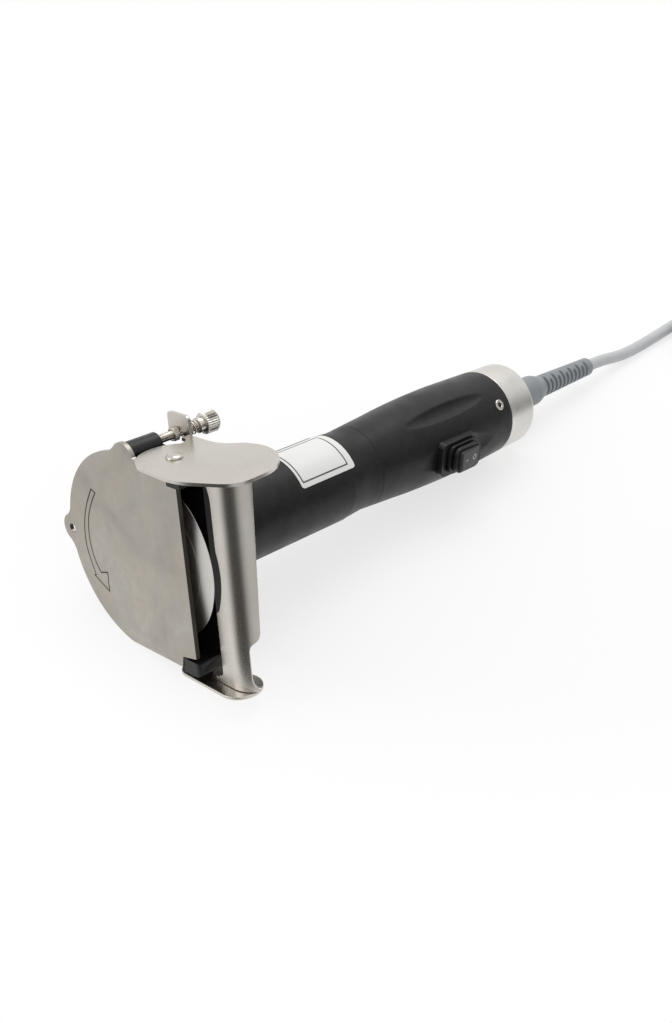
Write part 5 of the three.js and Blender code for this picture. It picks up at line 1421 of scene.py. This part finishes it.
@dataclass
class MotorTube:
    """The motor's tube and the label on it.

    Attributes:
        radius: Outer radius.
        inner: Inner radius.
        ends: Where it starts and ends along Y.
        chamfer: Chamfer of its front.
        seam: Depth and length of the seam at its rear.
        label: Where the label starts and ends along Y.
        label_angles: Directions of the label's lower and upper edge, in degrees.
        film: Lower and upper side of the label over the tube.
        sink: How far the label's rear sinks towards the narrower collar.
        sink_run: How far before the tube's end it starts to sink, and how far past the label it stops.
        border: Gap from the label's front, rear and side edges to its printed frame, and the line's width.
        ink: Lower and upper side of the frame over the tube.
        corners: Radii of the label's corners and of the frame's outer and inner ones.
        wrap: Half the angle round the tube that gets extra edges, and the angle between them, in degrees.
    """

    radius: float = 21.8
    inner: float = 19.6
    ends: Point = (36.3, 109.0)
    chamfer: float = 0.3
    seam: Point = (0.15, 0.22)
    label: Point = (78.2, 113.3)
    label_angles: Point = (28.5, 104.0)
    film: Point = (0.03, 0.13)
    sink: float = 0.42
    sink_run: Point = (1.5, 0.5)
    border: Four = (1.4, 3.9, 2.4, 0.75)
    ink: Point = (0.1, 0.16)
    corners: Spot = (1.6, 0.5, 0.3)
    wrap: tuple[int, int] = (45, 3)

    def wrapped(self, outline: Sequence[Point], low: float, high: float,
                holes: Sequence[Sequence[Point]] = ()) -> Form:
        """Wraps a flat film round the tube.

        Args:
            outline: Corners of the film, along Y and round the tube.
            low: Where the film starts over the tube's surface.
            high: Where it ends.
            holes: Outlines of its holes.

        Returns:
            The form.
        """
        form = Form().slab(outline, low, high, Facing.TOP, holes)
        half, step = self.wrap
        start, stop = self.ends[1] - self.sink_run[0], self.label[1] + self.sink_run[1]
        form.cut_along(1, [self.radius * math.radians(degrees) for degrees in range(-half, half + 1, step)])
        form.cut_along(0, [start + k for k in range(math.ceil(stop - start))])
        middle = math.radians(sum(self.label_angles) / 2)
        for corner in form.mesh.verts:
            angle = middle + corner.co.y / self.radius
            r = self.radius + corner.co.z - self.sink * ease(corner.co.x, start, stop)
            corner.co = (r * math.cos(angle), corner.co.x, r * math.sin(angle))
        return form

    def build(self) -> None:
        """Makes the tube, the label and its border."""
        start, end = self.ends
        r, inner = self.radius, self.inner
        deep, gap = self.seam
        profile = [
            (inner, start), (r - self.chamfer, start), (r, start + self.chamfer), (r, end),
            (r - deep, end + gap), (inner, end + gap),
        ]
        tube = Form().turned(profile, steps=128)
        tube.piece("motor_sleeve", BLACK, Body.TOOL, ["motor_tube"], sharp=30.0)
        front, rear, side, line = self.border
        corner, outer, within = self.corners
        self.wrapped(self.frame_box(0.0, 0.0, 0.0, corner), *self.film).piece("tube_label", PAPER, Body.TOOL)
        hole = self.frame_box(front + line, rear + line, side + line, within)
        border = self.wrapped(self.frame_box(front, rear, side, outer), *self.ink, [hole])
        border.piece("label_border", INK, Body.TOOL)

    def frame_box(self, front: float, rear: float, side: float, corner: float) -> list[Point]:
        """A rectangle on the label.

        Args:
            front: Its distance from the label's front edge.
            rear: Its distance from the rear edge.
            side: Its distance from the two edges along the tube.
            corner: Radius of its corners.

        Returns:
            Its outline, along Y and round the tube.
        """
        low, high = self.label[0] + front, self.label[1] - rear
        width = self.radius * math.radians(self.label_angles[1] - self.label_angles[0]) - 2 * side
        return [((low + high) / 2 + u, v) for u, v in rounded_box(high - low, width, corner)]


@dataclass
class Grip:
    """Collar ring and grip shell with its finger scoops.

    Attributes:
        collar_front: Radius and place along Y of the corners of the collar's front spigot and edge.
        collar_bend: The same for points along its waisted outside.
        collar_rear: The same for the corners of its seam and rear spigot.
        ends: Start and end of the shell along Y.
        shape: Share of the shell's length and radius of each point of its outline.
        end_radii: Radii at the two ends.
        front_chamfer: Chamfer of the shell's front edge.
        rear_chamfer: Depth and length of the chamfer at its rear.
        socket: Radius of the shell's socket for the collar, and where it ends along Y.
        wall: Thickness of the shell.
        skin: Corners farther out than this can be in a scoop.
        scoop_middle: Middle of the scoops along Y.
        scoop_round: How far the scoops' floor is rounded, and how deep they go.
        scoop_soft: Softness of a scoop's rim, and how far under the floor it still acts.
        scoops: Direction in degrees, half the length and half the width of each scoop.
    """

    collar_front: tuple[Point, ...] = ((16.8, 104.3), (19.2, 104.3), (19.2, 109.3), (21.45, 109.3))
    collar_bend: tuple[Point, ...] = ((21.6, 109.45), (21.2, 116.0), (20.8, 123.0), (21.25, 130.0))
    collar_rear: tuple[Point, ...] = ((21.13, 130.22), (18.0, 130.22), (18.0, 138.0), (16.8, 138.0))
    ends: Point = (130.3, 229.7)
    shape: tuple[Point, ...] = (
        (0.08, 21.8), (0.16, 22.3), (0.28, 23.2), (0.39, 23.8), (0.52, 24.2), (0.66, 24.3), (0.82, 23.9),
    )
    end_radii: Point = (21.25, 23.3)
    front_chamfer: float = 0.12
    rear_chamfer: Point = (0.35, 0.4)
    socket: Point = (18.3, 138.6)
    wall: float = 2.9
    skin: float = 20.9
    scoop_middle: float = 184.0
    scoop_round: Point = (4.0, 1.9)
    scoop_soft: Point = (0.12, 0.3)
    scoops: tuple[Spot, Spot, Spot] = ((-64.0, 35.0, 5.4), (-8.0, 32.5, 10.5), (48.0, 35.0, 5.4))

    def scooped(self, spot: Vector) -> Vector:
        """Presses a point of the surface down to the floor of a scoop.

        Args:
            spot: The point.

        Returns:
            Where it goes.
        """
        bend, depth = self.scoop_round
        soft, under = self.scoop_soft
        centre = math.hypot(spot.x, spot.z) + bend - depth
        for degrees, half, width in self.scoops:
            turn = Matrix.Rotation(math.radians(degrees), 3, "Y")
            local = turn @ spot
            room = 1 - ((local.y - self.scoop_middle) / half) ** 2 - (local.z / width) ** 2
            if room <= 0 or local.x <= 0:
                continue
            floor = centre - bend * math.sqrt(room)
            over = local.x - floor
            if over > -under:
                local.x = floor + 0.5 * (over - math.sqrt(over * over + soft * soft))
                return turn.inverted() @ local
        return spot

    def build(self) -> None:
        """Makes the collar and the shell."""
        profile = [*self.collar_front, *smooth(self.collar_bend, 6), *self.collar_rear]
        collar = Form().turned(profile, steps=128)
        collar.piece("collar_ring", BLACK, Body.TOOL, ["grip_collar"], sharp=30.0)
        start, end = self.ends
        front, rear = self.end_radii
        chamfer = self.front_chamfer
        inset, run = self.rear_chamfer
        socket, bottom = self.socket
        knots = [(front, start + chamfer), *((r, start + share * (end - start)) for share, r in self.shape)]
        knots.append((rear, end - run))
        profile = [(socket, start), (front - chamfer, start), *smooth(knots, 14)]
        profile += [(rear - inset, end), (rear - self.wall, end)]
        profile += [(r - self.wall, y) for r, y in reversed(knots[2:-1])]
        shell = Form().turned([*profile, (socket, bottom)], steps=240)
        for corner in shell.mesh.verts:
            if math.hypot(corner.co.x, corner.co.z) > self.skin:
                corner.co = self.scooped(corner.co)
        shell.piece("hand_grip", BLACK, Body.TOOL, ["grip_shell"], sharp=40.0)


@dataclass
class RockerSwitch:
    """The splash-proof rocker switch on the side of the grip.

    Attributes:
        along: Where its middle lies along Y.
        angle: Its direction round the grip, in degrees.
        bezel: Length and width of the bezel and radius of its corners.
        bezel_shift: Where its middle lies along Y from the rocker's.
        bezel_levels: Foot and top of the bezel.
        bezel_rounding: Rounding of its edges.
        rings: Length, width, foot and top of each of the boot's folds.
        ring_corner: Radius of the folds' corners.
        ring_rounding: Rounding of their edges.
        waist: How much shorter and narrower the boot is below a fold, and radius of its corners there.
        overlap: How far that stretch reaches into what lies below and above it.
        rocker: Length and width of the rocker and radius of its corners.
        rocker_depth: How far the rocker reaches in below its pivot.
        rocker_rounding: Rounding of its edges.
        play: How much longer and wider than the rocker its hole is, and radius of the hole's corners.
        pivot: Where the rocker tips.
        face: Height of the rocker's face over that.
        tilt: How far it is tipped, in degrees.
        mark: Distance of the two marks from its middle.
        mark_bar: Length and width of the mark for on and radius of its corners.
        mark_ring: Outer and inner radius of the mark for off.
        mark_depth: How far the marks reach into the rocker's face and over it.
    """

    along: float = 183.0
    angle: float = -8.0
    bezel: Spot = (27.8, 18.4, 3.2)
    bezel_shift: float = -0.8
    bezel_levels: Point = (18.5, 26.4)
    bezel_rounding: float = 0.9
    rings: tuple[Four, ...] = (
        (22.8, 15.6, 27.1, 28.6), (19.2, 13.8, 29.5, 31.5),
    )
    ring_corner: float = 4.2
    ring_rounding: float = 0.55
    waist: Spot = (3.0, 2.4, 2.4)
    overlap: float = 0.5
    rocker: Spot = (14.6, 10.9, 1.5)
    rocker_depth: float = 5.5
    rocker_rounding: float = 0.6
    play: Point = (0.9, 1.6)
    pivot: float = 31.5
    face: float = 1.5
    tilt: float = 6.0
    mark: float = 3.3
    mark_bar: Spot = (2.0, 0.5, 0.2)
    mark_ring: Point = (1.55, 1.05)
    mark_depth: Point = (0.02, 0.03)

    def place(self) -> Matrix:
        """The matrix from the switch's axes, with X pointing out, to the tool."""
        return Matrix.Translation((0.0, self.along, 0.0)) @ Matrix.Rotation(-math.radians(self.angle), 4, "Y")

    def build(self) -> None:
        """Makes bezel, boot, rocker and its two marks."""
        place = self.place()
        foot, top = self.bezel_levels
        play, corner = self.play
        hole = rounded_box(self.rocker[0] + play, self.rocker[1] + play, corner)
        rim = [(u + self.bezel_shift, v) for u, v in rounded_box(*self.bezel)]
        base = Form().slab(rim, foot, top, Facing.SIDE, [hole]).soften(self.bezel_rounding, segments=4)
        base.moved(place).piece("switch_frame", SWITCH, Body.TOOL, ["switch_bezel"])
        boot = Form()
        last = top
        shorter, narrower, corner = self.waist
        for length, width, low, high in self.rings:
            waist = rounded_box(length - shorter, width - narrower, corner)
            boot.slab(waist, last - self.overlap, low + self.overlap, Facing.SIDE, [hole])
            boot.slab(rounded_box(length, width, self.ring_corner), low, high, Facing.SIDE, [hole])
            last = high
        boot.soften(self.ring_rounding, segments=3).moved(place)
        boot.piece("switch_cover", BOOT, Body.TOOL, ["switch_boot"])
        tilt = Matrix.Rotation(math.radians(self.tilt), 4, "Z")
        tip = place @ Matrix.Translation((self.pivot, 0.0, 0.0)) @ tilt
        cap = Form().slab(rounded_box(*self.rocker), -self.rocker_depth, self.face, Facing.SIDE)
        cap.soften(self.rocker_rounding, segments=3).moved(tip)
        cap.piece("rocker_cap", ROCKER, Body.ROCKER, ["switch_rocker"])
        low, high = self.face - self.mark_depth[0], self.face + self.mark_depth[1]
        bar = [(u - self.mark, v) for u, v in rounded_box(*self.mark_bar)]
        Form().slab(bar, low, high, Facing.SIDE).moved(tip).piece("mark_on", MARK, Body.ROCKER)
        ring, inner = (circle((self.mark, 0.0), radius) for radius in self.mark_ring)
        Form().slab(ring, low, high, Facing.SIDE, [inner]).moved(tip).piece("mark_off", MARK, Body.ROCKER)


@dataclass
class EndCap:
    """The turned aluminium cap with its two radial screws.

    Attributes:
        front: Radius and place along Y of the corners of the spigot in the grip and of the front edge.
        rear: Radius and place along Y of the rear edge.
        rounding: Radius of that edge.
        neck: Radius and place along Y of the corners of the neck and of the lead's bore.
        screw_along: Where the screws lie along Y.
        screw_angles: Directions of the screws, in degrees.
        screw_profile: Radius of each corner of a screw, and its distance from the handle's axis.
    """

    front: tuple[Point, ...] = (
        (17.5, 214.0), (20.1, 214.0), (20.1, 230.0), (22.75, 230.0), (23.13, 230.12), (23.25, 230.5),
    )
    rear: Point = (22.75, 251.0)
    rounding: float = 2.5
    neck: tuple[Point, ...] = (
        (13.7, 251.0), (12.8, 251.3), (12.5, 252.2), (11.8, 255.5), (11.3, 256.0), (8.0, 256.0),
        (8.0, 246.5), (17.5, 246.5),
    )
    screw_along: float = 222.0
    screw_angles: Point = (28.0, 208.0)
    screw_profile: tuple[Point, ...] = (
        (0.0, 17.5), (1.5, 17.5), (1.5, 21.9), (2.9, 21.9), (2.9, 23.7), (2.6, 23.95), (1.6, 23.95),
        (1.35, 23.6), (1.35, 22.0), (0.0, 21.8),
    )

    def build(self) -> None:
        """Makes the cap and the screws."""
        radius, end = self.rear
        edge = arc((radius - self.rounding, end - self.rounding), self.rounding, 0, 90, 9)
        drum = Form().turned([*self.front, *edge, *self.neck], steps=160)
        drum.piece("rear_cap", CAP, Body.TOOL, ["end_cap"], sharp=30.0)
        along = Matrix.Translation((0.0, self.screw_along, 0.0)) @ Matrix.Rotation(-math.pi / 2, 4, "Z")
        for number, degrees in enumerate(self.screw_angles, 1):
            turn = Matrix.Rotation(-math.radians(degrees), 4, "Y")
            form = Form().turned(self.screw_profile, steps=48, closed=False).moved(turn @ along)
            form.piece(f"socket_screw_{number}", BRIGHT, Body.TOOL, [f"cap_screw_{number}"])


@dataclass
class StrainRelief:
    """The slotted sleeve where the lead leaves the cap.

    Attributes:
        bore: Radius of the bore.
        spigot: Radius and place along Y of the corners of the spigot in the cap and of the base's front.
        base: Radius and place along Y of points along the base.
        ends: Start and end of the slotted stretch along Y.
        radii: Radii of that stretch at its start and end.
        tip: Radius and place along Y of the corners of the plain tip.
        slots: Rows of slots.
        depth: Depth of a slot.
        slot_front: Shares of a row where a slot starts to sink and is fully sunk.
        slot_back: Shares of a row where it starts to rise and is fully risen.
        spine_turn: How far the spine between the slots is turned in even and in odd rows, in radians.
        spine_edge: Sines of the angles where a slot starts to fade towards the spine and is faded.
        spine_dip: Depth left on the spine, as a share of the slot's.
        walls: Wall that a slot leaves over the bore, and the thinnest one that is cut.
    """

    bore: float = 3.55
    spigot: tuple[Point, ...] = ((7.6, 252.2), (7.6, 256.2), (8.2, 256.2))
    base: tuple[Point, ...] = ((8.7, 256.8), (8.7, 264.2), (8.7, 276.0), (8.004, 279.5), (6.6, 283.6))
    ends: Point = (284.0, 327.5)
    radii: Point = (6.5, 5.4)
    tip: tuple[Point, ...] = ((5.4, 327.9), (5.4, 331.7), (4.8, 332.5))
    slots: int = 11
    depth: float = 2.5
    slot_front: Point = (0.28, 0.4)
    slot_back: Point = (0.68, 0.8)
    spine_turn: Point = (-0.25, 0.25)
    spine_edge: Point = (0.72, 0.9)
    spine_dip: float = 0.2
    walls: Point = (0.3, 0.5)

    def left(self, spot: Vector) -> float:
        """How much of its radius a point of the surface keeps where the slots sink.

        Args:
            spot: The point.

        Returns:
            The share.
        """
        start, end = self.ends
        radius = math.hypot(spot.x, spot.z)
        thin, wall = self.walls
        if not start < spot.y < end or radius < self.bore + wall:
            return 1.0
        rows = (spot.y - start) / ((end - start) / self.slots)
        slot = ease(rows % 1.0, *self.slot_front) * (1 - ease(rows % 1.0, *self.slot_back))
        spine = abs(math.sin(math.atan2(spot.z, spot.x) + self.spine_turn[int(rows) % 2]))
        fade = self.spine_dip + (1 - self.spine_dip) * (1 - ease(spine, *self.spine_edge))
        return 1 - min(self.depth, radius - self.bore - thin) * slot * fade / radius

    def build(self) -> None:
        """Makes the sleeve."""
        start, end = self.ends
        wide, narrow = self.radii
        count = 10 * self.slots
        shares = [k / count for k in range(count + 1)]
        stretch = [(wide + (narrow - wide) * share, start + (end - start) * share) for share in shares]
        profile = [(self.bore, self.spigot[0][1]), *self.spigot, *smooth(self.base, 6), *stretch, *self.tip]
        form = Form().turned([*profile, (self.bore, self.tip[-1][1])], steps=96)
        for corner in form.mesh.verts:
            left = self.left(corner.co)
            corner.co.x *= left
            corner.co.z *= left
        form.piece("slotted_sleeve", GREY, Body.TOOL, ["strain_relief"], sharp=50.0)


@dataclass
class Lead:
    """The mains lead on the table, in the row frame and millimetres.

    Attributes:
        route: Points from the strain relief to the coil.
        radius: Radius of the lead.
        inner: Radius of the innermost turn.
        pitch: Distance between turns side by side.
        layer: Height of the upper layer over the lower one.
        turns: Turns in each of the two layers.
        softness: Rounding of the turn from inward to outward.
        climb: Share of a turn used to climb a layer.
        tail: Length of the straight end towards the plug.
        level: Length of that end which stays level.
        plug_height: Height of the plug's middle.
        gap: Gap between the route and the coil.
        lead_in: Straight length before the coil starts to bend.
        tail_steps: Points along the straight end.
        strap: Width, thickness and clearance of the strap round the turns.
        strap_rounding: Rounding of its edges.
        plug_rounding: Rounding of the plug's edges.
        plug_sharp: Edges of the plug sharper than this are rounded, in degrees.
        pin_rounding: Rounding of the pins' ends.
    """

    route: tuple[Spot, ...] = (
        (-3.25, 168.13, 12.67), (-3.25, 174.0, 11.97), (-3.25, 180.0, 11.05), (-3.25, 186.0, 9.85),
        (-3.25, 192.0, 8.45), (-3.25, 198.0, 7.0), (-3.25, 204.0, 5.75), (-3.25, 211.0, 4.7),
        (-3.25, 219.0, 4.05), (-3.25, 228.0, 3.75), (-3.25, 238.0, 3.75), (-3.25, 249.0, 4.0),
        (-3.25, 260.0, 4.3), (-3.25, 271.0, 4.5), (-3.25, 277.5, 4.5), (-3.25, 284.0, 4.5),
    )
    radius: float = 3.5
    inner: float = 26.0
    pitch: float = 7.1
    layer: float = 7.1
    turns: float = 3.625
    softness: float = 0.1
    climb: float = 0.5
    tail: float = 38.0
    level: float = 12.0
    plug_height: float = 7.15
    gap: float = 0.3
    lead_in: float = 6.5
    tail_steps: int = 12
    strap: Spot = (10.0, 0.8, 0.05)
    strap_rounding: float = 0.25
    plug_rounding: float = 1.8
    plug_sharp: float = 25.0
    pin_rounding: float = 0.5

    def turn_radius(self, turns: float) -> float:
        """Radius of the coil after some turns from its start."""
        return self.inner + self.pitch * (math.hypot(turns - self.turns, self.softness) - self.softness)

    def coil(self, steps: int = 48) -> list[Vector]:
        """Points along the coil: in to the middle, up a layer, out again and on to the plug.

        Args:
            steps: Points to each turn.

        Returns:
            The points.
        """
        x, y, z = self.route[-1]
        middle = Vector((x + self.turn_radius(0.0), y + self.gap + self.lead_in, z))
        points = [Vector((x, y + self.gap, z))]
        total = 2 * self.turns
        count = round(steps * total)
        for k in range(count + 1):
            turned = total * k / count
            angle = math.pi * (1 - 2 * turned)
            r = self.turn_radius(turned)
            rise = self.layer * ease(turned - self.turns, -self.climb / 2, self.climb / 2)
            points.append(middle + Vector((r * math.cos(angle), r * math.sin(angle), rise)))
        end = points[-1].copy()
        for k in range(1, self.tail_steps + 1):
            out = self.tail * k / self.tail_steps
            drop = (end.z - self.plug_height) * ease(out, self.level, self.tail - self.lead_in)
            points.append(end + Vector((out, 0.0, -drop)))
        return points

    def fittings(self) -> list[bpy.types.Object]:
        """The tie, the plug and its pins.

        Returns:
            The pieces.
        """
        width, thick, room = self.strap
        outer = self.turn_radius(0.0)
        size = (outer - self.inner + 2 * (self.radius + room), self.layer + 2 * (self.radius + room))
        x, y, z = self.route[-1]
        middle = (x + outer + (outer + self.inner) / 2, z + self.layer / 2)
        loops = []
        for grown in (thick, 0.0):
            loop = rounded_box(size[0] + 2 * grown, size[1] + 2 * grown, self.radius + grown)
            loops.append([(middle[0] + u, middle[1] + v) for u, v in loop])
        start = y + self.gap + self.lead_in - width / 2
        tie = Form().slab(loops[0], start, start + width, Facing.FRONT, loops[1:])
        tie.soften(self.strap_rounding).moved(PLACE.inverted() @ Matrix.Scale(MM, 4))
        pieces = [tie.piece("coil_strap", WIRE, Body.TOOL, ["cord_tie"])]
        plug = Form.of_node("mains_plug").soften(self.plug_rounding, segments=4, angle=self.plug_sharp)
        pieces.append(plug.piece("plug_moulding", GREY, Body.TOOL, ["mains_plug"]))
        for number in (1, 2):
            pin = Form.of_node(f"plug_pin_{number}").soften(self.pin_rounding)
            pieces.append(pin.piece(f"round_pin_{number}", BRIGHT, Body.TOOL, [f"plug_pin_{number}"]))
        return pieces

    def build(self) -> None:
        """Makes the lead as one open curve, and what is on it."""
        path = through(self.route, 4) + self.coil()
        curve = bpy.data.curves.new("mains_lead", "CURVE")
        curve.dimensions = "3D"
        curve.bevel_depth = self.radius * MM
        curve.bevel_resolution = 6
        curve.use_fill_caps = True
        spline = curve.splines.new("POLY")
        spline.points.add(len(path) - 1)
        for spot, point in zip(path, spline.points):
            point.co = (*(spot * MM), 1.0)
        spline.use_smooth = True
        lead = bpy.data.objects.new("mains_lead", curve)
        bpy.context.scene.collection.objects.link(lead)
        curve.materials.append(LEAD.material())
        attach(lead, Body.TOOL.value)
        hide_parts("cord_run", "cord_coil")
        self.fittings()


@dataclass
class Inside:
    """The CAD nodes that stay as they are and get a better finish."""

    def dress(self) -> None:
        """Gives each node that no piece replaces the finish of its slot."""
        for part in frame["record"]["subparts"]:
            node = frame["nodes"][part["node"]]
            node.data.materials.clear()
            node.data.materials.append(BY_SLOT[part["material_slot"]].material())


@dataclass
class Stage:
    """Floor, backdrop colour and lamps.

    Attributes:
        size: Radius of the round floor, in metres.
        centre: Its middle.
        tone: Grey of the floor.
        glow: Share of plain white in what the camera and the metal see of the floor.
        fade: Shares of the floor's radius where it starts to fade to white and where it ends.
        sky: Grey of the light from above.
        horizon: Heights in the sphere of directions where the walls start and stop to give way to the sky.
        round_about: Direction in degrees and grey of the studio walls near the horizon.
    """

    size: float = 0.33
    centre: Point = (-0.045, 0.11)
    tone: float = 0.85
    glow: float = 0.7
    fade: Point = (0.75, 0.97)
    sky: float = 0.88
    horizon: Point = (0.2, 0.6)
    round_about: tuple[Point, ...] = (
        (-180.0, 0.92), (-108.0, 0.9), (-93.0, 0.4), (-84.0, 0.06), (-52.0, 0.06), (-36.0, 0.5),
        (-24.0, 0.65), (4.0, 0.65), (20.0, 0.25), (32.0, 0.1), (42.0, 0.1), (56.0, 0.32), (76.0, 0.75),
        (112.0, 0.95), (180.0, 0.9),
    )

    def floor(self) -> None:
        """Makes the floor."""
        form = bmesh.new()
        place = Matrix.Translation((*self.centre, 0.0))
        bmesh.ops.create_circle(form, cap_ends=True, segments=128, radius=self.size, matrix=place)
        mesh = bpy.data.meshes.new("floor")
        form.to_mesh(mesh)
        form.free()
        floor = bpy.data.objects.new("floor", mesh)
        bpy.context.scene.collection.objects.link(floor)
        material = bpy.data.materials.new("floor")
        material.use_nodes = True
        tree = Tree(material.node_tree)
        material.node_tree.nodes.remove(material.node_tree.nodes["Principled BSDF"])
        path = tree.add("ShaderNodeLightPath")
        rays = {0: path.outputs["Is Camera Ray"], 1: path.outputs["Is Glossy Ray"]}
        seen = tree.add("ShaderNodeMath", rays, operation="MAXIMUM")
        spot = tree.add("ShaderNodeTexCoord").outputs["Object"]
        reach = tree.add("ShaderNodeVectorMath", {0: spot, 1: (*self.centre, 0.0)}, operation="DISTANCE")
        start, end = (share * self.size for share in self.fade)
        fade = tree.spread(reach.outputs["Value"], self.glow, 1.0, (start, end))
        share = tree.add("ShaderNodeMath", {0: seen.outputs[0], 1: fade}, operation="MULTIPLY").outputs[0]
        matt = tree.add("ShaderNodeBsdfDiffuse", {"Color": (self.tone, self.tone, self.tone, 1.0)})
        white = tree.add("ShaderNodeEmission", {"Color": (1.0, 1.0, 1.0, 1.0), "Strength": 1.0})
        both = tree.add("ShaderNodeMixShader", {0: share, 1: matt.outputs[0], 2: white.outputs[0]})
        out = material.node_tree.nodes["Material Output"]
        tree.link(both.outputs[0], out.inputs["Surface"])
        mesh.materials.append(material)

    def world(self) -> None:
        """Makes the light from all round, white where the camera sees it."""
        world = bpy.data.worlds.new("world")
        world.use_nodes = True
        tree = Tree(world.node_tree)
        light = world.node_tree.nodes["Background"]
        way = tree.add("ShaderNodeSeparateXYZ", {0: tree.add("ShaderNodeTexCoord").outputs["Generated"]})
        turn = tree.add("ShaderNodeMath", {0: way.outputs["Y"], 1: way.outputs["X"]}, operation="ARCTAN2")
        share = tree.spread(turn.outputs[0], 0.0, 1.0, (-math.pi, math.pi))
        walls = tree.add("ShaderNodeValToRGB", {0: share})
        walls.color_ramp.interpolation = "EASE"
        stops = walls.color_ramp.elements
        for degrees, _ in self.round_about[1:-1]:
            stops.new((degrees + 180) / 360)
        for stop, (degrees, grey) in zip(stops, self.round_about):
            stop.position = (degrees + 180) / 360
            stop.color = (grey, grey, grey, 1.0)
        heights = {"Value": way.outputs["Z"], 1: self.horizon[0], 2: self.horizon[1], 3: 0.0, 4: 1.0}
        upward = tree.add("ShaderNodeMapRange", heights, interpolation_type="SMOOTHSTEP")
        studio = tree.mix(upward.outputs[0], walls.outputs["Color"], (self.sky, self.sky, self.sky))
        tree.link(studio, light.inputs["Color"])
        white = tree.add("ShaderNodeBackground", {"Color": (1.0, 1.0, 1.0, 1.0), "Strength": 1.0})
        seen = tree.add("ShaderNodeLightPath").outputs["Is Camera Ray"]
        both = tree.add("ShaderNodeMixShader", {0: seen, 1: light.outputs[0], 2: white.outputs[0]})
        tree.link(both.outputs[0], world.node_tree.nodes["World Output"].inputs["Surface"])
        bpy.context.scene.world = world

    def lamp(self, name: str, place: Spot, aim: Spot, size: float, power: float) -> None:
        """Makes a square lamp.

        Args:
            name: Name of the lamp.
            place: Where it hangs, in metres.
            aim: Where it points.
            size: Its side, in metres.
            power: Its power, in watts.
        """
        data = bpy.data.lights.new(name, "AREA")
        data.size = size
        data.energy = power
        lamp = bpy.data.objects.new(name, data)
        lamp.location = place
        lamp.rotation_euler = (Vector(aim) - Vector(place)).to_track_quat("-Z", "Y").to_euler()
        bpy.context.scene.collection.objects.link(lamp)

    def build(self) -> None:
        """Makes the floor, the world and the lamps."""
        self.floor()
        self.world()
        self.lamp("top_lamp", place=(-0.3, 0.35, 1.0), aim=(0.0, 0.0, 0.05), size=0.8, power=4.5)
        self.lamp("front_lamp", place=(-0.5, -0.9, 0.6), aim=(0.0, -0.1, 0.05), size=0.6, power=1.5)


@dataclass
class Viewpoint:
    """The camera, set in the tool's own axes.

    Attributes:
        azimuth: Turn round the tool, in degrees.
        elevation: Height over the tool's X-Y plane, in degrees.
        roll: Turn about the line of sight, in degrees.
        distance: From the tool's origin, in millimetres.
        shift: Sideways and upward shift of the origin in the view, in millimetres.
        focal: Focal length, in pixels of the photograph.
    """

    azimuth: float = 46.43
    elevation: float = 23.63
    roll: float = -3.75
    distance: float = 544.61
    shift: Point = (-83.28, -19.85)
    focal: float = 1250.0

    def build(self) -> None:
        """Makes the camera."""
        a, e, r = (math.radians(value) for value in (self.azimuth, self.elevation, self.roll))
        back = Vector((math.sin(a) * math.cos(e), -math.cos(a) * math.cos(e), math.sin(e)))
        flat = Vector((math.cos(a), math.sin(a), 0.0))
        upright = back.cross(flat)
        right = flat * math.cos(r) + upright * math.sin(r)
        up = upright * math.cos(r) - flat * math.sin(r)
        eye = back * self.distance - right * self.shift[0] - up * self.shift[1]
        turn = PLACE.to_3x3() * (1 / MM)
        matrix = (turn @ Matrix((right, up, back)).transposed()).to_4x4()
        matrix.translation = PLACE @ eye
        data = bpy.data.cameras.new("camera")
        data.sensor_fit = "VERTICAL"
        data.sensor_height = 36.0
        data.lens = self.focal * data.sensor_height / PHOTO_HEIGHT
        data.clip_start = 0.01
        camera = bpy.data.objects.new("camera", data)
        camera.matrix_world = matrix
        bpy.context.scene.collection.objects.link(camera)
        bpy.context.scene.camera = camera


def main() -> None:
    """Builds the looks in order."""
    logging.basicConfig(level=logging.INFO, format="%(message)s")
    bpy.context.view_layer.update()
    bpy.context.scene.view_settings.view_transform = "Standard"
    Viewpoint().build()
    Inside().dress()
    for part in (
        Lead(), Guard(), Blade(), DepthGuide(), Adjuster(), Housing(), MotorTube(), Grip(), RockerSwitch(),
        EndCap(), StrainRelief(),
    ):
        part.build()
    Stage().build()
    bpy.context.view_layer.update()


if __name__ == "__main__":
    main()
